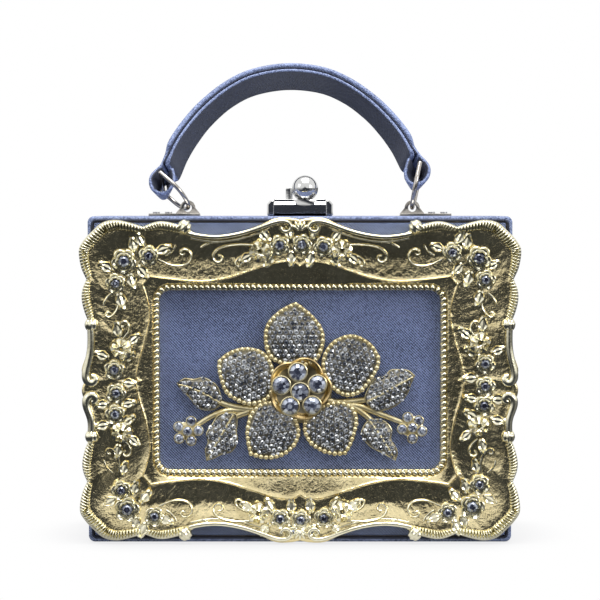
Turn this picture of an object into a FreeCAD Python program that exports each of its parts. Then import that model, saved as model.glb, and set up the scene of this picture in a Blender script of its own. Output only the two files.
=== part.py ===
import FreeCAD, Part
import math
import os

# A hard-sided evening box bag: two trays hinged along the floor, a cast picture frame and a flower
# brooch on the front face, a ball clasp on top and a strap handle on two D-rings.
# Millimetres. X runs to the right, Y to the back, Z up. Y = 0 is the parting plane of the two trays.

# The closed box
box_width = 200.0
box_height = 154.0
half_depth = 35.0
corner_radius = 3.0
parting_gap = 0.3

# The layers of one tray
cover_thick = 0.8
board_thick = 2.6
lining_thick = 0.6
panel_thick = 1.8
panel_edge_round = 0.7
bead_width = 2.4
bead_round = 1.1
bead_groove = 0.6
rim_depth = 2.5

# Floor hinge
hinge_axis_height = 2.4
knuckle_radius = 2.2
hinge_pin_radius = 1.0
hinge_running_fit = 0.05
hinge_head_radius = 1.6
hinge_head_length = 0.8
knuckle_count = 9
knuckle_gap = 0.2
barrel_inset = 10.0
barrel_clearance = 0.4
leaf_thick = 0.8
leaf_reach = 14.0
slot_half = 3.2
slot_height = 5.0
leaf_rivet_count = 7
leaf_rivet_radius = 0.9
leaf_rivet_head_radius = 1.8
leaf_rivet_head_height = 0.6
leaf_rivet_setback = 4.0

# Cast picture frame on the front panel
frame_overhang = 3.0
frame_drop = 0.7
frame_base = 3.0
frame_moulding = 5.0
side_rail_share = 0.36117
top_rail_share = 0.44954
window_corner = 5.0
window_bead_width = 2.8
window_bead_height = 1.6
top_ball_radius = 3.0
side_ball_radius = 3.2
top_ball_shares = (0.525, 0.946)
side_ball_shares = (0.948, 0.343)

# One quarter of the frame's outline, as shares of half its width and half its height
outline_shares = [
    [(0, 0.988), (0.045, 1), (0.113, 0.997), (0.190, 0.953), (0.303, 0.904), (0.416, 0.891), (0.488, 0.913)],
    [(0.488, 0.913), (0.56, 0.955), (0.640, 0.973), (0.715, 0.940)],
    [(0.715, 0.940), (0.78, 0.967), (0.841, 0.982), (0.896, 0.964), (0.941, 0.913), (0.977, 0.862),
     (1, 0.802), (0.99, 0.70), (0.966, 0.624)],
    [(0.966, 0.624), (0.984, 0.56), (0.987, 0.494), (0.972, 0.41), (0.948, 0.343)],
    [(0.948, 0.343), (0.948, 0.283), (0.960, 0.198), (0.993, 0.072), (0.981, 0)],
]
# The wavy inner ridge: along the top as (share of half width, share of the rail's height above the window),
# and down the side as (share of the rail's width beside the window, share of half height)
ridge_top_shares = [(0, 0.341), (0.040, 0.399), (0.115, 0.379), (0.228, 0.274), (0.339, 0.178),
                    (0.452, 0.134), (0.606, 0.172), (0.683, 0.201)]
ridge_side_shares = [(0.215, 0.589), (0.134, 0.461), (0.126, 0.379), (0.183, 0.243), (0.266, 0.102),
                     (0.293, 0.019), (0.239, 0)]

# The moulding's section, each as (share of its height, size as a share of the outline or of the ridge):
# the rim's crest, the hollow cove behind it, and the ridge's outer side
rim_crest_share = 0.974
cove_shares = [(1.04, 0.958), (0.70, 0.935), (0.36, 0.895), (0.22, 0.845)]
ridge_section_shares = [(0.12, 1.090), (0.42, 1.040), (0.66, 1.014), (0.78, 1.008)]
slope_foot_share = 0.05
slope_top_share = 0.82
slope_room = 3.0

# Stones set in cups on the frame
cup_height = 2.0
cup_wall = 1.6
stone_height = 1.8
stone_seat = 0.6
stone_table_share = 0.62
big_stone_radius = 3.6
mid_stone_radius = 2.5
small_stone_radius = 1.3
corner_big_shares = (0.793, 0.752)
corner_mid_shares = [(0.677, 0.789), (0.827, 0.627)]
trio_pitch = 10.2
top_trio_share = 0.83
side_trio_share = 0.837
side_trio_drop = 2.0
low_pair_shares = (0.043, 0.900)

# Screws that hold the frame and the brooch from inside
screw_radius = 1.25
screw_clearance = 0.1
screw_head_radius = 2.6
screw_head_height = 1.6
screw_grip = 3.6
frame_screw_shares = (0.846, 0.423)
brooch_screw_spread = 6.0

# Flower brooch in the window. Its reach to the side fills the window but for named margins, and the places
# and sizes of its outer pieces are shares of that reach, from its centre, X to the right and Z up
brooch_side_room = 6.0
brooch_top_room = 5.7
brooch_low_room = 3.6
brooch_height_share = 1.2487
brooch_base_thick = 2.0
brooch_disc_radius = 15.0
arm_width = 5.0
petal_count = 5
first_petal_angle = 96.0
petal_inner_radius = 11.5
petal_tip_share = 0.7023
lower_petal_tip_share = 0.6355
petal_half_width_share = 0.2425
petal_arm_share = 0.5
petal_thick = 3.0
petal_edge_shares = [(0, 0.38), (0.15, 0.69), (0.38, 0.965), (0.61, 0.93), (0.84, 0.48), (1, 0)]
pave_rim = 2.4
pave_depth = 0.8
pave_proud = 0.4
leaf_metal_thick = 2.2
leaf_edge_shares = [(0, 0.15), (0.2, 0.7), (0.45, 1), (0.7, 0.75), (0.88, 0.4), (1, 0)]
leaf_shares = {
    "leaf_left_upper": ((-0.627, -0.092), (-0.985, 0.065), 0.100),
    "leaf_left_lower": ((-0.502, -0.194), (-0.749, -0.545), 0.110),
    "leaf_right_upper": ((0.543, -0.082), (0.908, 0.107), 0.105),
    "leaf_right_lower": ((0.505, -0.301), (0.764, -0.5535), 0.097),
}
leaf_arm_share = 0.55
floret_shares = {"floret_left": (-0.888, -0.321), "floret_right": (0.881, -0.291)}
floret_radius_share = 0.1137
floret_ring_share = 0.0702
floret_stone_share = 0.0334
floret_thick = 2.4
floret_stone_height = 1.8
floret_stone_seat = 0.6
hub_clearance = 0.3
center_flange_radius = 14.5
center_flange_thick = 2.0
center_boss_height = 1.0
center_ring = 9.0
center_stone_radius = 4.0
center_stone_height = 2.6
center_stone_seat = 0.8

# Clasp on top, heights measured from the top of the box
bracket_half_width = 16.0
bracket_thick = 1.2
bracket_front = 13.0
bracket_back = 0.6
cheek_thick = 3.8
cheek_height = 8.0
cheek_front = 10.0
cheek_round = 2.0
lever_side_gap = 0.2
lever_front = 10.0
lever_top = 8.0
lever_pad_height = 4.4
nose_reach = 3.6
nose_height = 2.6
pivot_back = 2.8
pivot_height = 3.4
pivot_radius = 1.2
pivot_fit = 0.05
boss_under = 1.6
boss_half = 0.8
boss_shoulder = 1.9
boss_shoulder_height = 2.6
boss_rise = 2.7
ball_radius = 6.35
ball_offset = 2.4
ball_back = 6.6
ball_height = 13.3
ball_screw_radius = 1.0
ball_screw_reach = 3.0
ball_screw_head_radius = 1.8
ball_screw_head_height = 1.0
spring_offset = 6.0
spring_back = 8.2
spring_radius = 1.2
spring_wire = 0.22
spring_turns = 4.0
clasp_screw_radius = 1.0
clasp_screw_back = 7.5
clasp_screw_head_radius = 2.0
clasp_screw_head_height = 1.0
clasp_screw_grip = 4.0
catch_half_width = 10.0
catch_gap = 0.8
catch_end = 13.0
catch_thick = 1.2
catch_lip_end = 3.2
catch_clearance = 0.1
tab_left = 7.0
tab_width = 3.5
tab_back = 5.0
tab_thick = 1.6
tab_height = 13.8
catch_rivet_spread = 7.0
catch_rivet_back = 9.8

# Rivets with a low round head, used on the lugs and the catch
rivet_radius = 0.9
rivet_head_radius = 1.7
rivet_head_height = 0.8
rivet_foot_radius = 1.7
rivet_foot_height = 0.6

# Lugs, D-rings and strap handle
lug_inset = 45.0
lug_rim_room = 1.84
lug_half_depth = 4.0
lug_base_thick = 1.2
fin_thick = 2.4
fin_inner = 6.0
fin_outer = 6.0
fin_round = 3.7
lug_hole_radius = 2.0
lug_hole_height = 4.0
flange_length = 13.0
lug_rivet_first = 9.5
lug_rivet_pitch = 6.0
lug_plate_thick = 0.8
lug_plate_margin = 2.6
ring_radius = 11.0
ring_side = 7.0
ring_wire = 1.05
left_ring_tilt_angle = 47.0
right_ring_tilt_angle = 12.0
strap_width = 18.0
outer_strap_thick = 2.0
inner_strap_thick = 2.2
loop_clearance = 0.8
inner_strap_lift = 5.0
handle_rise = 56.5
# Half of the handle's arch, as shares of half the distance between the rings' bars and of its rise
arch_shares = [(0, 1), (0.269, 0.954), (0.472, 0.835), (0.646, 0.660), (0.768, 0.487), (0.863, 0.320),
               (0.931, 0.173), (0.978, 0.090), (1.024, 0.019)]
arch_samples = 48
handle_lean_angle = 26.0

# Slip pocket on the back lining
pocket_half_width = 60.0
pocket_bottom = 15.0
pocket_height = 70.0
pocket_thick = 0.8
pocket_gap = 1.2
pocket_hem = 3.0

# How far a cutting shape runs past what it cuts
overrun = 1.0

V = FreeCAD.Vector
X = V(1, 0, 0)
Y = V(0, 1, 0)
Z = V(0, 0, 1)
FRONT = V(0, -1, 0)
CENTRE = V(0, 0, 0)
FULL_TURN = 360.0

# Worked-out planes and sizes
wall_thick = cover_thick + board_thick + lining_thick
panel_back = -half_depth + panel_thick
board_inner = panel_back + board_thick
lining_inner = board_inner + lining_thick
rim_back = -parting_gap / 2
rim_front = rim_back - rim_depth
board_top = box_height - cover_thick
board_under_top = board_top - board_thick
frame_half_width = box_width / 2 + frame_overhang
frame_half_height = box_height / 2 - frame_drop
frame_middle = box_height / 2
side_rail = frame_half_width * side_rail_share
top_rail = frame_half_height * top_rail_share
window_half_width = frame_half_width - side_rail
window_half_height = frame_half_height - top_rail
base_front = -half_depth - frame_base
cove_front = base_front - frame_moulding * cove_shares[-1][0]
petal_back = -half_depth - brooch_base_thick
brooch_tall = 2 * window_half_height - brooch_top_room - brooch_low_room
brooch_reach = min(window_half_width - brooch_side_room, brooch_tall / brooch_height_share)
petal_tip = brooch_reach * petal_tip_share
lower_petal_tip = brooch_reach * lower_petal_tip_share
petal_half_width = brooch_reach * petal_half_width_share
low_petal_turn = math.radians(first_petal_angle + 2 * FULL_TURN / petal_count)
window_bottom = frame_middle - window_half_height
brooch_height = window_bottom + brooch_low_room - lower_petal_tip * math.sin(low_petal_turn)
lug_spread = box_width / 2 - lug_inset
loop_radius = ring_wire + loop_clearance
# The lugs stand so far behind the rim that the leaning handle reaches as far back as the frame does forward
lug_back = -rim_front + lug_half_depth + lug_rim_room


def block(x0, x1, y0, y1, z0, z1):
    """A box between two corners."""
    return Part.makeBox(x1 - x0, y1 - y0, z1 - z0, V(x0, y0, z0))


def rod(radius, start, direction, length):
    """A round bar."""
    return Part.makeCylinder(radius, length, start, direction)


def joined(shapes):
    """One solid out of several that meet."""
    return shapes[0].multiFuse(shapes[1:]).removeSplitter()


def edges_along(shape, direction):
    """The straight edges that run along a direction."""
    found = []
    for edge in shape.Edges:
        if edge.Curve.TypeId == "Part::GeomLine" and abs(edge.Curve.Direction.dot(direction)) > 1 - 1e-6:
            found.append(edge)
    return found


def edges_at_depth(shape, depth):
    """The edges that lie wholly in the plane at one Y."""
    box_fits = lambda edge: abs(edge.BoundBox.YMin - depth) + abs(edge.BoundBox.YMax - depth) < 1e-4
    return [edge for edge in shape.Edges if box_fits(edge)]


def slab(inset, y0, y1, radius):
    """The box's front outline, drawn in by an inset, between two depths."""
    half = box_width / 2 - inset
    shape = block(-half, half, y0, y1, inset, box_height - inset)
    if radius > 0:
        shape = shape.makeFillet(radius, edges_along(shape, Y))
    return shape


def mirrored_back(shape):
    """The same piece on the back tray."""
    return shape.mirror(CENTRE, Y)


def bolt(start, direction, radius, length, head_radius, head_height, grow=0):
    """A screw or rivet: its head starts at a point and its shank follows; grow widens it into a hole."""
    head = rod(head_radius + grow, start, direction, head_height)
    shank = rod(radius + grow, start + direction * head_height, direction, length)
    return joined([head, shank])


def extruded_outline(points, move):
    """A straight-sided outline pulled along a vector."""
    return Part.Face(Part.makePolygon(points + points[:1])).extrude(move)


def hinge_slot():
    """The room for the hinge barrel between the two trays, across the whole width."""
    half = box_width / 2 + overrun
    return block(-half, half, -slot_half, slot_half, -overrun, slot_height)


def leaf_seat():
    """The pocket of a hinge leaf in the floor board."""
    half = box_width / 2 - barrel_inset
    top = cover_thick + board_thick
    return block(-half, half, -leaf_reach, -slot_half, top - leaf_thick, top + overrun)


def leaf_rivet_places():
    """Where the rivets of a hinge leaf stand."""
    half = box_width / 2 - barrel_inset
    step = 2 * half / leaf_rivet_count
    back = -leaf_reach + leaf_rivet_setback
    return [V(-half + step * (i + 0.5), back, cover_thick) for i in range(leaf_rivet_count)]


def leaf_rivets(grow=0):
    """Flush rivets from under the floor board up through the leaf."""
    length = board_thick - leaf_rivet_head_height
    return [bolt(place, Z, leaf_rivet_radius, length, leaf_rivet_head_radius, leaf_rivet_head_height, grow)
            for place in leaf_rivet_places()]


def tray_shell():
    """Stiff board of the front tray: four walls and a face."""
    outer = slab(cover_thick, panel_back, rim_front, corner_radius - cover_thick)
    inside = slab(cover_thick + board_thick, board_inner, rim_front + overrun, 0)
    return outer.cut(inside).cut(hinge_slot()).cut(leaf_seat()).cut(Part.makeCompound(leaf_rivets()))


def tray_cover():
    """Grained sheet round the walls of the front tray."""
    outer = slab(0, panel_back, rim_front, corner_radius)
    inside = slab(cover_thick, panel_back - overrun, rim_front + overrun, corner_radius - cover_thick)
    return outer.cut(inside).cut(hinge_slot())


def tray_bead():
    """Rolled piping round the face."""
    outer = slab(0, -half_depth, panel_back, corner_radius)
    inside = slab(bead_width, -half_depth - overrun, panel_back + overrun, corner_radius - bead_width)
    ring = outer.cut(inside)
    return ring.makeFillet(bead_round, edges_at_depth(ring, -half_depth))


def tray_panel():
    """Face panel inside the piping."""
    plate = slab(bead_width + bead_groove, -half_depth, panel_back, panel_edge_round)
    return plate.makeFillet(panel_edge_round, edges_at_depth(plate, -half_depth))


def tray_lining():
    """Lining tray inside the board."""
    outer = slab(cover_thick + board_thick, board_inner, rim_front, 0)
    inside = slab(wall_thick, lining_inner, rim_front + overrun, 0)
    return outer.cut(inside).cut(hinge_slot())


def tray_rim():
    """Metal mouth rim over the top and down both sides."""
    outer = slab(0, rim_front, rim_back, corner_radius)
    inside = slab(wall_thick, rim_front - overrun, rim_back + overrun, 0)
    half = box_width / 2 + overrun
    low = block(-half, half, rim_front - overrun, rim_back + overrun, -overrun, slot_height)
    return outer.cut(inside).cut(low)


def hinge_leaf(first):
    """A leaf with every second knuckle, the first or the second one leading; drawn on the front side."""
    half = box_width / 2 - barrel_inset
    step = 2 * half / knuckle_count
    top = cover_thick + board_thick
    low = top - leaf_thick
    clear = knuckle_radius + barrel_clearance
    pieces = [block(-half, half, -leaf_reach, -clear, low, top)]
    for i in range(first, knuckle_count, 2):
        start = -half + step * i + knuckle_gap / 2
        length = step - knuckle_gap
        pieces.append(rod(knuckle_radius, V(start, 0, hinge_axis_height), X, length))
        pieces.append(block(start, start + length, -clear, -hinge_pin_radius, low, top))
    bore = hinge_pin_radius + (hinge_running_fit if first else 0)
    hole = rod(bore, V(-half - overrun, 0, hinge_axis_height), X, 2 * half + 2 * overrun)
    return joined(pieces).cut(hole).cut(Part.makeCompound(leaf_rivets()))


def hinge_pin():
    """Pin of the floor hinge with a small head at each end."""
    half = box_width / 2 - barrel_inset
    pin = rod(hinge_pin_radius, V(-half, 0, hinge_axis_height), X, 2 * half)
    left = rod(hinge_head_radius, V(-half, 0, hinge_axis_height), -X, hinge_head_length)
    right = rod(hinge_head_radius, V(half, 0, hinge_axis_height), X, hinge_head_length)
    return joined([pin, left, right])


def four_fold_wire(sections, depth):
    """A closed outline from one quarter's curves, mirrored to the other three."""
    edges = []
    for side in (1, -1):
        for rise in (1, -1):
            for section in sections:
                curve = Part.BSplineCurve()
                curve.interpolate([V(side * x, depth, frame_middle + rise * z) for x, z in section])
                edges.append(curve.toShape())
    return Part.Wire(Part.sortEdges(edges)[0])


def frame_outline(depth, scale_share):
    """The frame's outer outline at one depth."""
    wide = frame_half_width * scale_share
    high = frame_half_height * scale_share
    return four_fold_wire([[(x * wide, z * high) for x, z in part] for part in outline_shares], depth)


def frame_ridge(depth, scale_share):
    """The wavy ridge between the cove and the smooth inner slope, at one depth and size."""
    top = [(x * frame_half_width, window_half_height + z * top_rail) for x, z in ridge_top_shares]
    side = [(window_half_width + x * side_rail, z * frame_half_height) for x, z in ridge_side_shares]
    parts = [top, [top[-1], side[0]], side]
    return four_fold_wire([[(x * scale_share, z * scale_share) for x, z in part] for part in parts], depth)


def slope_foot(depth):
    """Where the inner slope meets the flat round the window's bead, with cut corners."""
    wide = window_half_width + slope_room
    high = window_half_height + slope_room
    bend = window_corner / 2
    top = [(0, high), (wide - bend, high)]
    side = [(wide, high - bend), (wide, 0)]
    return four_fold_wire([top, [top[-1], side[0]], side], depth)


def section_depth(share):
    """The depth at one share of the moulding's height."""
    return base_front - frame_moulding * share


def frame_section():
    """The moulding: a raised rim, the hollow cove inside it, the ridge and the slope down to the window."""
    crest = frame_outline(section_depth(1), rim_crest_share)
    rise = Part.makeLoft([frame_outline(base_front, 1), crest], True, True)
    cove = Part.makeLoft([frame_outline(section_depth(z), x) for z, x in cove_shares], True, True)
    ridge = Part.makeLoft([frame_ridge(section_depth(z), x) for z, x in ridge_section_shares], True, True)
    low = slope_foot(section_depth(slope_foot_share))
    slope = Part.makeLoft([low, frame_ridge(section_depth(slope_top_share), 1)], True, True)
    return rise.cut(cove).fuse(ridge).cut(slope)


def window(grow, front, back):
    """The frame's rounded window, grown all round, between two depths."""
    wide = window_half_width + grow
    high = window_half_height + grow
    shape = block(-wide, wide, front, back, frame_middle - high, frame_middle + high)
    return shape.makeFillet(window_corner + grow, edges_along(shape, Y))


def frame_stone_places():
    """Every stone of the frame as (x, z from its middle, stone radius)."""
    places = []
    for side in (1, -1):
        for rise in (1, -1):
            x, z = corner_big_shares
            places.append((side * x * frame_half_width, rise * z * frame_half_height, big_stone_radius))
            for x, z in corner_mid_shares:
                places.append((side * x * frame_half_width, rise * z * frame_half_height, mid_stone_radius))
    for i in (-1, 0, 1):
        for rise in (1, -1):
            places.append((i * trio_pitch, rise * top_trio_share * frame_half_height, mid_stone_radius))
            places.append((rise * side_trio_share * frame_half_width, i * trio_pitch - side_trio_drop,
                           mid_stone_radius))
    for side in (1, -1):
        x, z = low_pair_shares
        places.append((side * x * frame_half_width, -z * frame_half_height, small_stone_radius))
    return places


def gem(place, radius, height):
    """A cut stone standing out to the front: a round girdle and a sloped crown under a flat table."""
    girdle = rod(radius, place, FRONT, height / 2)
    crown = Part.makeCone(radius, radius * stone_table_share, height / 2, place + FRONT * (height / 2), FRONT)
    return joined([girdle, crown])


def frame_stones():
    """The stones of the frame, each in its cup."""
    seat = cove_front - cup_height + stone_seat
    return [gem(V(x, seat, frame_middle + z), radius, stone_height) for x, z, radius in frame_stone_places()]


def face_screws(places, grow=0):
    """Screws from inside the front board towards the front."""
    shank = board_inner - screw_head_height + half_depth + screw_grip
    return [bolt(place, FRONT, screw_radius, shank, screw_head_radius, screw_head_height, grow)
            for place in places]


def frame_screw_places():
    """Four screws behind the frame's side mouldings."""
    x = frame_screw_shares[0] * frame_half_width
    z = frame_screw_shares[1] * frame_half_height
    return [V(i * x, board_inner, frame_middle + j * z) for i in (1, -1) for j in (1, -1)]


def brooch_screw_places():
    """Two screws behind the brooch's hub."""
    return [V(i * brooch_screw_spread, board_inner, brooch_height) for i in (1, -1)]


def picture_frame():
    """Cast frame: flat base, moulding, window bead, balls and stone cups."""
    base = Part.Face(frame_outline(-half_depth, 1)).extrude(FRONT * frame_base)
    bead = window(window_bead_width, base_front - window_bead_height, base_front)
    pieces = [base, frame_section(), bead]
    for shares, radius in ((top_ball_shares, top_ball_radius), (side_ball_shares, side_ball_radius)):
        for side in (1, -1):
            for up in (1, -1):
                x = side * shares[0] * frame_half_width
                z = frame_middle + up * shares[1] * frame_half_height
                pieces.append(Part.makeSphere(radius, V(x, base_front - radius / 2, z)))
    cup_front = cove_front - cup_height
    for x, z, radius in frame_stone_places():
        foot = V(x, base_front, frame_middle + z)
        pieces.append(rod(radius + cup_wall, foot, FRONT, base_front - cup_front))
    solid = joined(pieces)
    holes = [window(0, section_depth(1) - overrun, -half_depth + overrun)]
    holes += frame_stones()
    holes += face_screws(frame_screw_places())
    return solid.cut(Part.makeCompound(holes))


def leaf_form(start, tip, half_width, shares, depth, thick):
    """A pointed leaf or petal from its start to its tip (x, z), smooth along both edges."""
    along = V(tip[0] - start[0], 0, tip[1] - start[1])
    across = along.cross(Y).normalize() * half_width
    foot = V(start[0], depth, start[1] + brooch_height)
    sides = []
    for hand in (1, -1):
        curve = Part.BSplineCurve()
        curve.interpolate([foot + along * a + across * (hand * b) for a, b in shares])
        sides.append(curve.toShape())
    first, last = sides[0].Vertexes[0].Point, sides[1].Vertexes[0].Point
    wire = Part.Wire(Part.sortEdges(sides + [Part.makeLine(first, last)])[0])
    return Part.Face(wire).extrude(FRONT * thick)


def pave_field(start, tip, half_width, shares, front):
    """The field of small stones that fills a petal or leaf inside its metal edge."""
    length = math.hypot(tip[0] - start[0], tip[1] - start[1])
    step = pave_rim / length
    inner_start = [a + (b - a) * step for a, b in zip(start, tip)]
    inner_tip = [a + (b - a) * (1 - 2 * step) for a, b in zip(start, tip)]
    narrow = half_width - pave_rim
    return leaf_form(inner_start, inner_tip, narrow, shares, front + pave_depth, pave_depth + pave_proud)


def polar(radius, degrees):
    """A place on the brooch from its centre."""
    turn = math.radians(degrees)
    return (radius * math.cos(turn), radius * math.sin(turn))


def petal_angles():
    """The directions of the petals, the top one first, counted against the clock."""
    return [first_petal_angle + FULL_TURN / petal_count * i for i in range(petal_count)]


def petal_places():
    """Start, tip and half width of each petal; the two that point down are shorter."""
    places = []
    for angle in petal_angles():
        low = math.sin(math.radians(angle)) < -0.5
        tip = lower_petal_tip if low else petal_tip
        places.append((polar(petal_inner_radius, angle), polar(tip, angle), petal_half_width))
    return places


def petals():
    """The five petals with their sunk fields, and the fields of stones in them."""
    front = petal_back - petal_thick
    clear = [(polar(center_flange_radius, angle), place[1], place[2])
             for angle, place in zip(petal_angles(), petal_places())]
    fields = [pave_field(*place, petal_edge_shares, front) for place in clear]
    metal = [leaf_form(*place, petal_edge_shares, petal_back, petal_thick) for place in petal_places()]
    return [piece.cut(field) for piece, field in zip(metal, fields)], fields


def brooch_place(shares):
    """A place on the brooch from its centre, out of shares of its reach."""
    return (shares[0] * brooch_reach, shares[1] * brooch_reach)


def leaf_places():
    """Start, tip and half width of each leaf."""
    return [(brooch_place(start), brooch_place(tip), wide * brooch_reach)
            for start, tip, wide in leaf_shares.values()]


def brooch_leaves():
    """The four leaves with their sunk fields, and the fields of stones in them."""
    places = leaf_places()
    front = petal_back - leaf_metal_thick
    fields = [pave_field(*place, leaf_edge_shares, front) for place in places]
    metal = [leaf_form(*place, leaf_edge_shares, petal_back, leaf_metal_thick) for place in places]
    return [piece.cut(field) for piece, field in zip(metal, fields)], fields


def arm(tip):
    """A flat arm of the brooch's carrier from its centre to a place."""
    length = math.hypot(*tip)
    bar = block(0, length, petal_back, -half_depth, -arm_width / 2, arm_width / 2)
    bar.rotate(CENTRE, FRONT, math.degrees(math.atan2(tip[1], tip[0])))
    bar.translate(V(0, 0, brooch_height))
    return bar


def brooch_base():
    """Carrier plate: a disc with an arm under each petal, leaf and floret."""
    middle = V(0, -half_depth, brooch_height)
    pieces = [rod(brooch_disc_radius, middle, FRONT, brooch_base_thick)]
    pieces += [arm(polar(petal_arm_share * brooch_reach, angle)) for angle in petal_angles()]
    for start, tip, half_width in leaf_places():
        pieces.append(arm([a + (b - a) * leaf_arm_share for a, b in zip(start, tip)]))
    pieces += [arm(brooch_place(shares)) for shares in floret_shares.values()]
    return joined(pieces).cut(Part.makeCompound(face_screws(brooch_screw_places())))


def brooch_center():
    """Centre cup: a hub between the petals and a flange over their inner ends."""
    middle = V(0, petal_back, brooch_height)
    hub = rod(petal_inner_radius - hub_clearance, middle, FRONT, petal_thick)
    flange_foot = middle + FRONT * petal_thick
    flange = rod(center_flange_radius, flange_foot, FRONT, center_flange_thick)
    boss_height = center_flange_thick + center_boss_height
    boss = rod(center_stone_radius + cup_wall / 2, flange_foot, FRONT, boss_height)
    holes = center_stones() + face_screws(brooch_screw_places())
    return joined([hub, flange, boss]).cut(Part.makeCompound(holes))


def center_stones():
    """Five stones in a ring and one raised in the middle."""
    depth = petal_back - petal_thick - center_flange_thick + center_stone_seat
    stones = [gem(V(0, depth - center_boss_height, brooch_height), center_stone_radius, center_stone_height)]
    for angle in petal_angles():
        x, z = polar(center_ring, angle)
        stones.append(gem(V(x, depth, brooch_height + z), center_stone_radius, center_stone_height))
    return stones


def floret_stones(place):
    """Six stones of one floret."""
    depth = petal_back - floret_thick + floret_stone_seat
    middle = V(place[0], depth, brooch_height + place[1])
    spots = [(0, 0)] + [polar(floret_ring_share * brooch_reach, angle) for angle in petal_angles()]
    radius = floret_stone_share * brooch_reach
    return [gem(middle + V(x, 0, z), radius, floret_stone_height) for x, z in spots]


def floret(place):
    """A round floret with seats for its stones."""
    foot = V(place[0], petal_back, brooch_height + place[1])
    disc = rod(floret_radius_share * brooch_reach, foot, FRONT, floret_thick)
    return disc.cut(Part.makeCompound(floret_stones(place)))


def clasp_screws(grow=0):
    """Two screws from inside the top board up into the cheeks of the clasp."""
    x = bracket_half_width - cheek_thick / 2
    length = board_thick - clasp_screw_head_height + cover_thick + clasp_screw_grip
    return [bolt(V(i * x, -clasp_screw_back, board_under_top), Z, clasp_screw_radius, length,
                 clasp_screw_head_radius, clasp_screw_head_height, grow) for i in (1, -1)]


def clasp_pin():
    """Pivot pin of the clasp lever, held in both cheeks."""
    start = V(-bracket_half_width, -pivot_back, box_height + pivot_height)
    return rod(pivot_radius, start, X, 2 * bracket_half_width)


def clasp_bracket():
    """Saddle of the clasp: a base plate and two cheeks."""
    half = bracket_half_width
    base = block(-half, half, -bracket_front, -bracket_back, box_height, box_height + bracket_thick)
    pieces = [base]
    for start in (-half, half - cheek_thick):
        cheek = block(start, start + cheek_thick, -cheek_front, -bracket_back, box_height,
                      box_height + cheek_height)
        high = [e for e in edges_along(cheek, X) if e.CenterOfMass.z > box_height + cheek_height / 2]
        pieces.append(cheek.makeFillet(cheek_round, high))
    return joined(pieces).cut(clasp_pin()).cut(Part.makeCompound(clasp_screws()))


def ball_screw():
    """Screw up through the lever into the ball."""
    start = V(ball_offset, -ball_back, box_height + lever_pad_height - ball_screw_head_height)
    length = ball_height - ball_radius - lever_pad_height + ball_screw_reach
    return bolt(start, Z, ball_screw_radius, length, ball_screw_head_radius, ball_screw_head_height)


def ball_form():
    """The clasp's ball as a full sphere."""
    return Part.makeSphere(ball_radius, V(ball_offset, -ball_back, box_height + ball_height))


def clasp_lever():
    """Lever between the cheeks: a pad in front, a pivot boss and a flat nose over the catch."""
    half = bracket_half_width - cheek_thick - lever_side_gap
    outline = [
        (-lever_front, lever_pad_height),
        (-lever_front, lever_top),
        (nose_reach, lever_top),
        (nose_reach, nose_height),
        (-pivot_back + boss_shoulder, nose_height),
        (-pivot_back + boss_half, boss_under),
        (-pivot_back - boss_half, boss_under),
        (-pivot_back - boss_shoulder, boss_shoulder_height),
        (-pivot_back - boss_rise, lever_pad_height),
    ]
    points = [V(-half, y, box_height + z) for y, z in outline]
    body = extruded_outline(points, X * (2 * half))
    bore = rod(pivot_radius + pivot_fit, V(-half - overrun, -pivot_back, box_height + pivot_height), X,
               2 * half + 2 * overrun)
    return body.cut(bore).cut(ball_form()).cut(ball_screw())


def clasp_spring():
    """Small coil spring between the saddle and the lever's pad."""
    length = lever_pad_height - bracket_thick
    pitch = (length - 2 * spring_wire) / spring_turns
    helix = Part.makeHelix(pitch, pitch * spring_turns, spring_radius)
    profile = Part.Wire(Part.makeCircle(spring_wire, V(spring_radius, 0, 0), Y))
    coil = Part.Wire(helix).makePipeShell([profile], True, True)
    coil.translate(V(-spring_offset, -spring_back, box_height + bracket_thick + spring_wire))
    return coil


def catch_rivets():
    """Two rivets of the catch plate, headed inside the board too."""
    pieces = []
    for i in (1, -1):
        top = V(i * catch_rivet_spread, catch_rivet_back, box_height + catch_thick + rivet_head_height)
        pieces.append(through_rivet(top, board_under_top, rivet_foot_height))
    return pieces


def through_rivet(top, end_height, foot_height):
    """A rivet from its head's top down to an end height, with a foot there where one is asked for."""
    length = top.z - rivet_head_height - end_height
    rivet = bolt(top, -Z, rivet_radius, length, rivet_head_radius, rivet_head_height)
    if foot_height > 0:
        foot = rod(rivet_foot_radius, V(top.x, top.y, end_height), Z, foot_height)
        rivet = joined([rivet, foot])
    return rivet


def catch_plate():
    """Plate on the back tray: a low lip under the lever's nose and an upright finger tab."""
    half = catch_half_width
    base = block(-half, half, catch_gap, catch_end, box_height, box_height + catch_thick)
    lip_top = box_height + nose_height - catch_clearance
    lip = block(-half, half, catch_gap, catch_lip_end, box_height, lip_top)
    tab = block(-tab_left, -tab_left + tab_width, tab_back, tab_back + tab_thick, box_height,
                box_height + tab_height)
    high = [e for e in edges_along(tab, Y) if e.CenterOfMass.z > box_height + tab_height / 2]
    tab = tab.makeFillet(tab_thick / 2, high)
    return joined([base, lip, tab]).cut(Part.makeCompound(catch_rivets()))


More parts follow.
